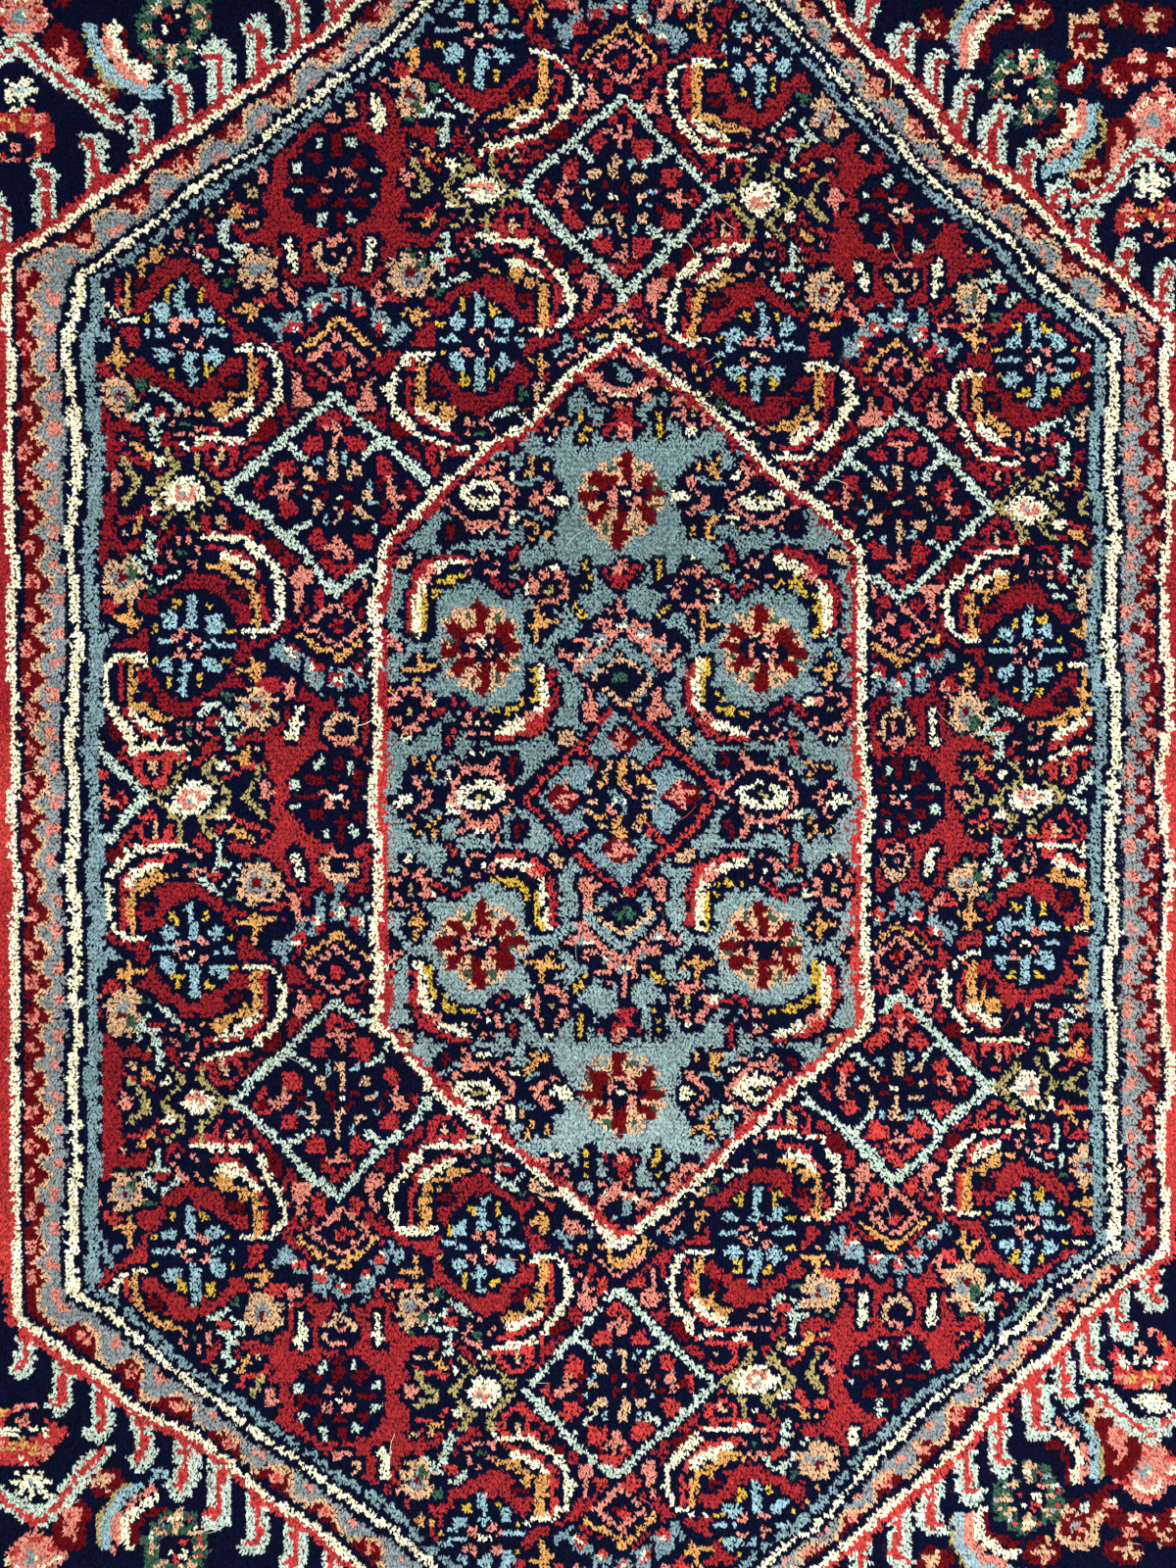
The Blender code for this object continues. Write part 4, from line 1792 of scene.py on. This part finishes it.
class PileTree:
    """The Geometry Nodes that set a yarn end on every point of a bed of points."""

    INPUTS = (("Bed", "Geometry"), ("Scatter", "Vector"), ("Loose", "Float"), ("Turn", "Float"),
              ("Size Spread", "Float"), ("Cells", "Float"), ("Seed", "Int"))

    def __init__(self, ends: Sequence[Piece], wool: Material) -> None:
        """Build the tree.

        Args:
            ends: The shapes of cut yarn end to choose from.
            wool: The finish of the pile.
        """
        self.ends = ends
        self.tree = bpy.data.node_groups.new("yarn_ends_on_knots", "GeometryNodeTree")
        add_socket = self.tree.interface.new_socket
        self.sockets = {
            name: add_socket(name=name, in_out="INPUT", socket_type="NodeSocket" + kind).identifier
            for name, kind in self.INPUTS}
        add_socket(name="Pile", in_out="OUTPUT", socket_type="NodeSocketGeometry")
        self.bench = NodeBench(self.tree)
        self.given = self.bench.add("NodeGroupInput").outputs
        self._build(wool)

    def _build(self, wool: Material) -> None:
        """Add and link the nodes.

        Args:
            wool: The finish that they dress the pile in.
        """
        bench, given = self.bench, self.given
        numbered = bench.add("GeometryNodeStoreNamedAttribute", {
            "Name": "cell", "Geometry": given["Bed"],
            "Value": bench.add("GeometryNodeInputIndex").outputs[0]},
            data_type="INT", domain="POINT")
        backwards = bench.vector("SCALE", given["Scatter"], -1.0)
        placed = bench.add("GeometryNodeSetPosition", {
            "Geometry": numbered.outputs[0],
            "Offset": self._random("FLOAT_VECTOR", backwards, given["Scatter"], 0)})
        shapes = bench.add("GeometryNodeJoinGeometry")
        for end in self.ends:
            shape = bench.add("GeometryNodeObjectInfo", {"Object": end, "As Instance": True},
                              transform_space="ORIGINAL")
            bench.feed(shapes, {0: shape.outputs["Geometry"]})
        smallest = bench.math("SUBTRACT", 1.0, given["Size Spread"])
        largest = bench.math("ADD", 1.0, given["Size Spread"])
        stood = bench.add("GeometryNodeInstanceOnPoints", {
            "Points": placed.outputs[0], "Instance": shapes.outputs[0], "Pick Instance": True,
            "Instance Index": self._random("INT", 0, len(self.ends) - 1, 1),
            "Rotation": self._lean(), "Scale": self._random("FLOAT", smallest, largest, 3)})
        real = bench.add("GeometryNodeRealizeInstances", {"Geometry": stood.outputs[0]})
        mapped = bench.add("GeometryNodeStoreNamedAttribute", {
            "Name": "OFBake", "Geometry": real.outputs[0], "Value": self._map()},
            data_type="FLOAT2", domain="CORNER")
        worn = bench.add("GeometryNodeSetMaterial", {
            "Material": wool, "Geometry": mapped.outputs[0]})
        bench.add("NodeGroupOutput", {"Pile": worn.outputs[0]})

    def _random(self, kind: str, low: object, high: object, step: int) -> Socket:
        """Add a random value.

        Args:
            kind: Its type of data.
            low: The least value, a socket or a number.
            high: The greatest.
            step: How far its seed is past the tree's.

        Returns:
            The value.
        """
        place = ("FLOAT_VECTOR", "FLOAT", "INT").index(kind)
        seed = self.bench.math("ADD", self.given["Seed"], float(step))
        node = self.bench.add("FunctionNodeRandomValue", {
            2 * place: low, 2 * place + 1: high, "Seed": seed}, data_type=kind)
        return node.outputs[place]

    def _named(self, name: str, kind: str = "FLOAT_VECTOR") -> Socket:
        """Return a named attribute of the geometry."""
        return self.bench.add("GeometryNodeInputNamedAttribute", {"Name": name},
                              data_type=kind).outputs[0]

    def _lean(self) -> Socket:
        """Turn each yarn end by its stance, a random lean and a random twist.

        Returns:
            Each yarn end's turn.
        """
        loose, turn = self.given["Loose"], self.given["Turn"]
        most = self.bench.add("ShaderNodeCombineXYZ", {0: loose, 1: loose, 2: turn}).outputs[0]
        least = self.bench.vector("SCALE", most, -1.0)
        sway = self._random("FLOAT_VECTOR", least, most, 2)
        return self.bench.vector("ADD", sway, self._named("stance"))

    def _map(self) -> Socket:
        """Lay out a map that gives every yarn end a square of its own.

        Returns:
            Each face corner's place on the map.
        """
        bench, cells, cell = self.bench, self.given["Cells"], self._named("cell", "FLOAT")
        column = bench.math("MODULO", cell, cells)
        row = bench.math("FLOOR", bench.math("DIVIDE", cell, cells))
        corner = bench.add("ShaderNodeCombineXYZ", {0: column, 1: row}).outputs[0]
        total = bench.vector("ADD", self._named("plan"), corner)
        return bench.vector("SCALE", total, bench.math("DIVIDE", 1.0, cells))

    def stand(self, name: str, bed: Piece, values: dict[str, object]) -> Piece:
        """Run the tree on a bed of points.

        Args:
            name: The new object's name.
            bed: The object whose points the tree reads. It is removed.
            values: The tree's inputs by name.

        Returns:
            The result as a plain mesh object, with no modifier.
        """
        run = bed.modifiers.new(name, "NODES")
        run.node_group = self.tree
        cells = float(math.ceil(math.sqrt(len(bed.data.vertices))))
        for title, value in {**values, "Cells": cells}.items():
            run[self.sockets[title]] = value
        graph = bpy.context.evaluated_depsgraph_get()
        graph.update()
        mesh = bpy.data.meshes.new_from_object(
            bed.evaluated_get(graph), preserve_all_data_layers=True, depsgraph=graph)
        mesh.name = name
        for title in ("plan", "cell", "stance"):
            if title in mesh.attributes:
                mesh.attributes.remove(mesh.attributes[title])
        bpy.data.objects.remove(bed, do_unlink=True)
        log.info("%s: %d faces", name, len(mesh.polygons))
        return placed_object(name, mesh)

    def clear(self) -> None:
        """Remove the shapes of yarn end once the pile stands."""
        for end in self.ends:
            bpy.data.objects.remove(end, do_unlink=True)


@dataclass(frozen=True)
class KnottedPile:
    """The pile: three cut plies of yarn for each knot, in bands of rows, in metres."""

    slab: Slab
    colours: Array
    bands: int = 6
    plies: tuple[Point, ...] = ((-0.00080, -0.00035), (0.00005, 0.00060), (0.00085, -0.00030))
    width: float = 0.0019
    length: float = 0.0032
    depth: float = 0.0022
    sunk: float = 0.0003
    height_spread: float = 0.00018
    tone_spread: float = 0.14
    nap: Triple = (0.08, 0.0, 0.0)
    scatter: Triple = (0.00040, 0.00050, 0.0)
    loose: float = 0.22
    turn: float = 1.1
    size_spread: float = 0.14
    seed: int = 5

    def _ends(self) -> list[Piece]:
        """Make the shapes of yarn end."""
        shapes = (("yarn_end_a", 1.0, 1.0, 0.3, 0.0006), ("yarn_end_b", 0.92, 1.05, 0.05, 0.0008),
                  ("yarn_end_c", 1.08, 0.9, -0.2, 0.0003))
        return [YarnEnd(wide * self.width, long * self.length, self.depth, slant, lean).make(name)
                for name, wide, long, slant, lean in shapes]

    def _bed(self, rows: range, rng: np.random.Generator) -> Piece:
        """Make the points that one band's yarn ends stand on, with their dyes.

        Args:
            rows: The band's rows of knots.
            rng: The source of their heights and tones.

        Returns:
            The bed of points.
        """
        row, column = np.meshgrid(np.array(rows), np.arange(KNOTS_ACROSS), indexing="ij")
        x, y = self.slab.place((2.0 * column + 1.0) / KNOTS_ACROSS - 1.0,
                               (2.0 * row + 1.0) / KNOTS_ALONG - 1.0)
        z = self.slab.pile_height(x, y)
        places, coats = [], []
        for ply_across, ply_along in self.plies:
            rise = rng.normal(0.0, self.height_spread, x.shape)
            places.append(np.stack((x + ply_across, y + ply_along * (1 - 2 * (column % 2)),
                                    z - self.sunk + rise), axis=-1).reshape(-1, 3))
            tone = 1.0 + rng.normal(0.0, self.tone_spread, x.shape)
            coats.append((self.colours[rows.start:rows.stop] * tone[..., None]).reshape(-1, 3))
        return bed_of(np.concatenate(places), np.concatenate(coats), np.array(self.nap))

    def build(self, wool: Material) -> list[Piece]:
        """Build the pile.

        Args:
            wool: The finish of the pile.

        Returns:
            The pile's bands.
        """
        tree = PileTree(self._ends(), wool)
        rng = np.random.default_rng(self.seed)
        step = KNOTS_ALONG // self.bands
        pieces = []
        for band in range(self.bands):
            bed = self._bed(range(band * step, (band + 1) * step), rng)
            pieces.append(tree.stand(f"pile_band_{band + 1}", bed, {
                "Scatter": self.scatter, "Loose": self.loose, "Turn": self.turn,
                "Size Spread": self.size_spread, "Seed": self.seed + 10 * band}))
        tree.clear()
        return pieces


@dataclass(frozen=True)
class RimPlaces:
    """Places round the rug's outline, with the knot beside each and the way out there."""

    points: Array
    knots: Array
    outward: Array

    @classmethod
    def walk(cls, slab: Slab, per_knot: int, inset: float, height: float,
             sides: str = "xy") -> "RimPlaces":
        """Space places evenly along the cut edges.

        Args:
            slab: The rug's outline.
            per_knot: How many places each knot's length of edge has.
            inset: How far in from the cut edge they are.
            height: Their height above the floor.
            sides: The axes across the edges that are walked.

        Returns:
            The places.
        """
        points, knots, outward = [], [], []
        for axis in sides:
            long, wide = ((KNOTS_ALONG, KNOTS_ACROSS) if axis == "x"
                          else (KNOTS_ACROSS, KNOTS_ALONG))
            count = long * per_knot
            step = (np.arange(count) + 0.5) / count
            for sign in (-1.0, 1.0):
                pair = [np.full(count, sign), 2.0 * step - 1.0]
                knot = [step * long, np.full(count, 0 if sign < 0 else wide - 1)]
                way = [sign, 0.0]
                if axis == "y":
                    for both in (pair, knot, way):
                        both.reverse()
                x, y = slab.place(*pair)
                points.append(np.column_stack((x - way[0] * inset, y - way[1] * inset,
                                               np.full(count, height))))
                knots.append(np.column_stack(knot).astype(int))
                outward.append(np.tile(way, (count, 1)))
        return cls(np.concatenate(points), np.concatenate(knots), np.concatenate(outward))


@dataclass(frozen=True)
class CutEdges:
    """What the plain cut bares: the sides of the pile's strands, and the cotton ends."""

    slab: Slab
    colours: Array
    strand_width: float = 0.00125
    strand_rows: tuple[tuple[float, int], ...] = ((0.0006, 3), (0.0015, 2))
    strand_root: float = 0.0002
    strand_tones: float = 0.13
    cord_width: float = 0.0009
    cord_length: float = 0.0022
    cord_tones: float = 0.07
    strand_lean: float = 0.06
    cord_lean: float = 0.08
    warp_height: float = 0.0018
    weft_heights: Point = (0.0013, 0.0025)
    bared: float = 0.0011
    cotton: tuple[int, int, int] = (214, 202, 176)
    scatter: Triple = (0.00025, 0.00025, 0.0)
    size_spread: float = 0.04
    seed: int = 71

    def strands(self, wool: Material) -> Piece:
        """Build the strands of pile that stand along the cut edges.

        Args:
            wool: Their finish.

        Returns:
            The strands as one piece.
        """
        rise = self.slab.top - self.slab.foundation
        shapes = [Strand(wide * self.strand_width, rise - short, levels).make(name)
                  for name, wide, short, levels in (
                      ("strand_a", 1.0, 0.0004, ((0.0, 1.0, 0.0), (0.93, 0.85, 0.0002))),
                      ("strand_b", 0.9, 0.0007, ((0.0, 0.9, 0.0), (0.9, 1.05, -0.0002))))]
        rng = np.random.default_rng(self.seed)
        places, coats = [], []
        for inset, per_knot in self.strand_rows:
            walked = RimPlaces.walk(self.slab, per_knot, inset,
                                    self.slab.foundation - self.strand_root)
            coat = self.colours[walked.knots[:, 0], walked.knots[:, 1]]
            places.append(walked.points)
            coats.append(coat * (1.0 + rng.normal(0.0, self.strand_tones, (len(coat), 1))))
        bed = bed_of(np.concatenate(places), np.concatenate(coats), np.zeros(3))
        return self._stand("cut_edge_strands", bed, PileTree(shapes, wool),
                           loose=self.strand_lean, turn=math.pi)

    def cotton_ends(self, cotton: Material) -> Piece:
        """Build the cut ends of warp and weft along the foundation's edges.

        Args:
            cotton: Their finish.

        Returns:
            The ends as one piece.
        """
        shape = Strand(self.cord_width, self.cord_length,
                       ((0.0, 1.0, 0.0), (0.92, 1.05, 0.0))).make("cotton_end")
        inset = self.cord_length - self.bared
        walks = [RimPlaces.walk(self.slab, 2, inset, self.warp_height, "y")]
        walks += [RimPlaces.walk(self.slab, 1, inset, height, "x") for height in self.weft_heights]
        points = np.concatenate([walk.points for walk in walks])
        outward = np.concatenate([walk.outward for walk in walks])
        stance = np.column_stack((-0.5 * math.pi * outward[:, 1], 0.5 * math.pi * outward[:, 0],
                                  np.zeros(len(outward))))
        rng = np.random.default_rng(self.seed + 1)
        coat = np.tile(linear(*self.cotton), (len(points), 1))
        coat = coat * (1.0 + rng.normal(0.0, self.cord_tones, (len(points), 1)))
        return self._stand("cut_cotton_ends", bed_of(points, coat, stance),
                           PileTree([shape], cotton), loose=self.cord_lean, turn=0.0)

    def _stand(self, name: str, bed: Piece, tree: PileTree, loose: float, turn: float) -> Piece:
        """Set a shape on every point of a bed.

        Args:
            name: The piece's name.
            bed: The points. It is removed.
            tree: The Geometry Nodes to run.
            loose: How far the shapes may lean, in radians.
            turn: How far they may twist.

        Returns:
            The piece.
        """
        piece = tree.stand(name, bed, {
            "Scatter": self.scatter, "Loose": loose, "Turn": turn,
            "Size Spread": self.size_spread, "Seed": self.seed})
        tree.clear()
        return piece


@dataclass(frozen=True)
class StrayHairs:
    """Loose fibres on top of the pile: a few long pale ones and many short of its wools.

    Each pale one is given by its place in metres and its heading in radians.
    """

    slab: Slab
    colours: Array
    width: float = 0.00026
    length: float = 0.0125
    bend: tuple[Triple, ...] = (
        (0.0, 0.6, 0.0), (0.25, 1.0, 0.0006), (0.5, 1.0, 0.0009), (0.8, 0.9, 0.0003))
    pale: tuple[Triple, ...] = (
        (0.0500, 0.2802, 0.6), (0.2788, 0.3349, 0.9), (0.2790, -0.3880, 1.6),
        (-0.0110, 0.1270, 2.2), (0.1530, -0.2110, 0.2), (-0.2010, -0.0450, 1.1))
    pale_dye: tuple[int, int, int] = (232, 222, 190)
    short_count: int = 110
    spread: float = 0.94
    sunk: float = 0.00015
    rise: float = 0.04
    loose: float = 0.05
    turn: float = 0.2
    size_spread: float = 0.35
    seed: int = 83

    def build(self, wool: Material) -> Piece:
        """Build the fibres as one piece.

        Args:
            wool: Their finish.

        Returns:
            The piece.
        """
        shape = Strand(self.width, self.length, self.bend).make("hair")
        rng = np.random.default_rng(self.seed)
        across = rng.uniform(-self.spread, self.spread, self.short_count) * self.slab.half_width
        along = rng.uniform(-self.spread, self.spread, self.short_count) * self.slab.half_length
        heading = rng.uniform(0.0, 2.0 * math.pi, self.short_count)
        column = np.clip((across / KNOT_PITCH + 0.5 * KNOTS_ACROSS).astype(int), 0, KNOTS_ACROSS - 1)
        row = np.clip((along / KNOT_PITCH + 0.5 * KNOTS_ALONG).astype(int), 0, KNOTS_ALONG - 1)
        shift = rng.integers(-2, 3, self.short_count)
        shades = self.colours[row, np.clip(column + shift, 0, KNOTS_ACROSS - 1)]
        hairs = np.concatenate((np.array(self.pale), np.column_stack((across, along, heading))))
        coat = np.concatenate((np.tile(linear(*self.pale_dye), (len(self.pale), 1)), shades))
        x, y, heading = hairs.T
        points = np.column_stack((x, y, self.slab.pile_height(x, y) - self.sunk))
        stance = np.column_stack((np.full(len(x), 0.5 * math.pi - self.rise), 0.0 * x, heading))
        tree = PileTree([shape], wool)
        piece = tree.stand("stray_hairs", bed_of(points, coat, stance), {
            "Scatter": (0.0, 0.0, 0.0), "Loose": self.loose, "Turn": self.turn,
            "Size Spread": self.size_spread, "Seed": self.seed})
        tree.clear()
        return piece


@dataclass(frozen=True)
class ShadedPileDepths:
    """The deep wool between the cut ends, as one sheet in the knots' colours, dimmed as painted shade."""

    slab: Slab
    colours: Array
    knots_per_step: int = 2
    below: float = 0.0023
    inset: float = 0.0016
    shade_dimming: float = 0.70

    def darkest_near(self) -> Array:
        """Look for the darkest knot at each knot.

        Returns:
            Each knot's colour, or that of the darkest knot beside it.
        """
        rows, columns = self.colours.shape[:2]
        padded = np.pad(self.colours, ((1, 1), (1, 1), (0, 0)), mode="edge")
        near = np.stack([padded[i:i + rows, j:j + columns] for i in range(3) for j in range(3)])
        darkest = np.argmin(near.sum(axis=-1), axis=0)
        return np.take_along_axis(near, darkest[None, ..., None], axis=0)[0]

    def build(self, wool: Material) -> Piece:
        """Build the sheet.

        Args:
            wool: Its finish.

        Returns:
            The sheet.
        """
        wide, tall = KNOTS_ACROSS // self.knots_per_step, KNOTS_ALONG // self.knots_per_step
        along, across = np.meshgrid(np.linspace(-1.0, 1.0, tall + 1),
                                    np.linspace(-1.0, 1.0, wide + 1), indexing="ij")
        x, y = self.slab.place(across, along)
        x, y = x - self.inset * across, y - self.inset * along
        z = self.slab.pile_height(x, y) - self.below
        index = np.arange((wide + 1) * (tall + 1)).reshape(tall + 1, wide + 1)
        faces = np.stack((index[:-1, :-1], index[:-1, 1:], index[1:, 1:], index[1:, :-1]), axis=-1)
        sheet = mesh_object("pile_depths", np.stack((x, y, z), axis=-1).reshape(-1, 3),
                            faces.reshape(-1, 4).tolist())
        row = np.clip(np.arange(tall + 1) * self.knots_per_step, 0, KNOTS_ALONG - 1)
        column = np.clip(np.arange(wide + 1) * self.knots_per_step, 0, KNOTS_ACROSS - 1)
        # The sheet takes the darkest nearby knot's colour, dimmed as painted shade.
        put_dye(sheet, self.shade_dimming * self.darkest_near()[np.ix_(row, column)].reshape(-1, 3))
        sheet.data.materials.append(wool)
        log.info("pile_depths: %d faces", len(sheet.data.polygons))
        return sheet


@dataclass(frozen=True)
class Foundation:
    """The woven cotton foundation, with the knots' backs in their dyes underneath."""

    slab: Slab
    colours: Array
    cotton: tuple[int, int, int] = (206, 194, 168)
    # The bed's near-black dye is painted shade on the foundation's top face, which shows only in the gaps
    # of the pile.
    bed: tuple[int, int, int] = (18, 10, 16)
    unevenness: float = 0.00022
    seed: int = 31

    def build(self, backs: Material) -> Piece:
        """Build the foundation as one closed sheet.

        Args:
            backs: The finish of the knot backs.

        Returns:
            The sheet.
        """
        along, across = np.meshgrid(np.linspace(-1.0, 1.0, KNOTS_ALONG + 1),
                                    np.linspace(-1.0, 1.0, KNOTS_ACROSS + 1), indexing="ij")
        x, y = self.slab.place(across, along)
        rng = np.random.default_rng(self.seed)
        z = np.zeros(x.shape)
        z[1:-1, 1:-1] = rng.uniform(0.0, self.unevenness, (KNOTS_ALONG - 1, KNOTS_ACROSS - 1))
        under = np.stack((x, y, z), axis=-1).reshape(-1, 3)
        index = np.arange(len(under)).reshape(x.shape)
        faces = np.stack((index[:-1, :-1], index[1:, :-1], index[1:, 1:], index[:-1, 1:]),
                         axis=-1).reshape(-1, 4).tolist()
        rim = [*index[0], *index[1:, -1], *index[-1, -2::-1], *index[-2:0:-1, 0]]
        upper = under[rim]
        upper[:, 2] = self.slab.foundation
        start, count = len(under), len(rim)
        for here in range(count):
            after = (here + 1) % count
            faces.append((int(rim[here]), int(rim[after]), start + after, start + here))
        faces.append(tuple(range(start, start + count)))
        sheet = mesh_object("foundation_sheet", np.concatenate((under, upper)), faces)
        sheet.data.materials.append(backs)
        self._dye(sheet, count + 1)
        log.info("foundation_sheet: %d faces", len(sheet.data.polygons))
        return sheet

    def _dye(self, sheet: Piece, plain: int) -> None:
        """Colour each knot's back, the rim faces as cotton, and the bed under the pile near-black as
        painted shade.

        Args:
            sheet: The foundation.
            plain: How many faces are not knot backs: the rim faces in cotton, and last the bed under the
                pile, in painted shade.
        """
        knots = self.colours.reshape(-1, 3)
        per_face = np.concatenate((knots, np.tile(linear(*self.cotton), (plain, 1))))
        # Painted shade: the bed under the pile is dyed near-black.
        per_face[-1] = linear(*self.bed)
        corners = np.zeros(len(sheet.data.polygons), dtype=np.int32)
        sheet.data.polygons.foreach_get("loop_total", corners)
        put_dye(sheet, np.repeat(per_face, corners, axis=0), "CORNER")


@dataclass(frozen=True)
class Studio:
    """The pale floor, the soft light and the camera over the rug.

    Lengths are in metres and angles in degrees.
    """

    target: Triple
    distance: float = 1.0
    tilt: float = 2.0
    lens: float = 45.0
    sensor: float = 36.0
    floor_reach: float = 4.0
    floor_colour: tuple[float, ...] = (0.72, 0.72, 0.71, 1.0)
    floor_roughness: float = 0.8
    key_place: Triple = (0.5, -0.3, 1.5)
    key_size: float = 0.7
    key_power: float = 36.0
    fill: float = 1.0

    def build(self) -> None:
        """Build the floor, the lights and the camera."""
        corners = [(x, y, 0.0) for x, y in ((-1, -1), (1, -1), (1, 1), (-1, 1))]
        floor = mesh_object("floor", self.floor_reach * np.array(corners), ((0, 1, 2, 3),))
        floor.data.materials.append(started_material("pale_floor", {
            "Base Color": self.floor_colour, "Roughness": self.floor_roughness})[0])
        self._light()
        world = bpy.data.worlds.new("studio")
        world.use_nodes = True
        NodeBench(world.node_tree).feed(world.node_tree.nodes["Background"], {
            "Color": (1.0, 1.0, 1.0, 1.0), "Strength": self.fill})
        bpy.context.scene.world = world
        bpy.context.scene.view_settings.view_transform = "Standard"
        self._camera()

    def _light(self) -> None:
        """Add a square soft light that faces the rug."""
        lamp = bpy.data.lights.new("key", "AREA")
        lamp.size = self.key_size
        lamp.energy = self.key_power
        light = placed_object("key", lamp)
        light.location = self.key_place
        aim = Vector(self.target) - Vector(self.key_place)
        light.rotation_euler = aim.to_track_quat("-Z", "Y").to_euler()

    def _camera(self) -> None:
        """Add the camera, almost straight above the rug."""
        lens = bpy.data.cameras.new("camera")
        lens.sensor_fit = "VERTICAL"
        lens.sensor_height = self.sensor
        lens.lens = self.lens
        camera = placed_object("camera", lens)
        tilt = math.radians(self.tilt)
        away = Vector((0.0, math.sin(tilt), math.cos(tilt)))
        camera.location = Vector(self.target) + self.distance * away
        camera.rotation_euler = (-tilt, 0.0, 0.0)
        bpy.context.scene.camera = camera


@dataclass(frozen=True)
class Rug:
    """The whole rug: its chart, pile and foundation."""

    slab: Slab

    def build(self) -> None:
        colours = DyeBox().dyed(rug_chart())
        # knotted_wool and cut_side_wool darken lower down as painted shade; cotton and loose_hair get
        # none.
        wool = ShadedWoolFinish("knotted_wool").make()
        side_wool = ShadedWoolFinish("cut_side_wool", shadow_height=0.0034, lit_height=0.0075)
        cotton = ShadedWoolFinish("cotton", shadow_height=-0.002, lit_height=0.0)
        hair = ShadedWoolFinish("loose_hair", shadow=1.0)
        pile = KnottedPile(self.slab, colours).build(wool)
        sheet = Foundation(self.slab, colours).build(CottonFinish().make())
        edges = CutEdges(self.slab, colours)
        strands = edges.strands(side_wool.make())
        ends = edges.cotton_ends(cotton.make())
        hairs = StrayHairs(self.slab, colours).build(hair.make())
        depths = ShadedPileDepths(self.slab, colours).build(wool)
        pieces = [sheet] + pile + [depths, strands, ends, hairs]
        for piece in pieces:
            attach(piece, BODY)
            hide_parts(RUG_NODE)


def main() -> None:
    """Build the rug and its studio."""
    low, high = CAD_BOUNDS
    slab = Slab(half_width=0.5 * (high[0] - low[0]), half_length=0.5 * (high[1] - low[1]),
                top=high[2])
    Rug(slab).build()
    Studio(target=(0.0, 0.0056, slab.top)).build()


if __name__ == "__main__":
    main()
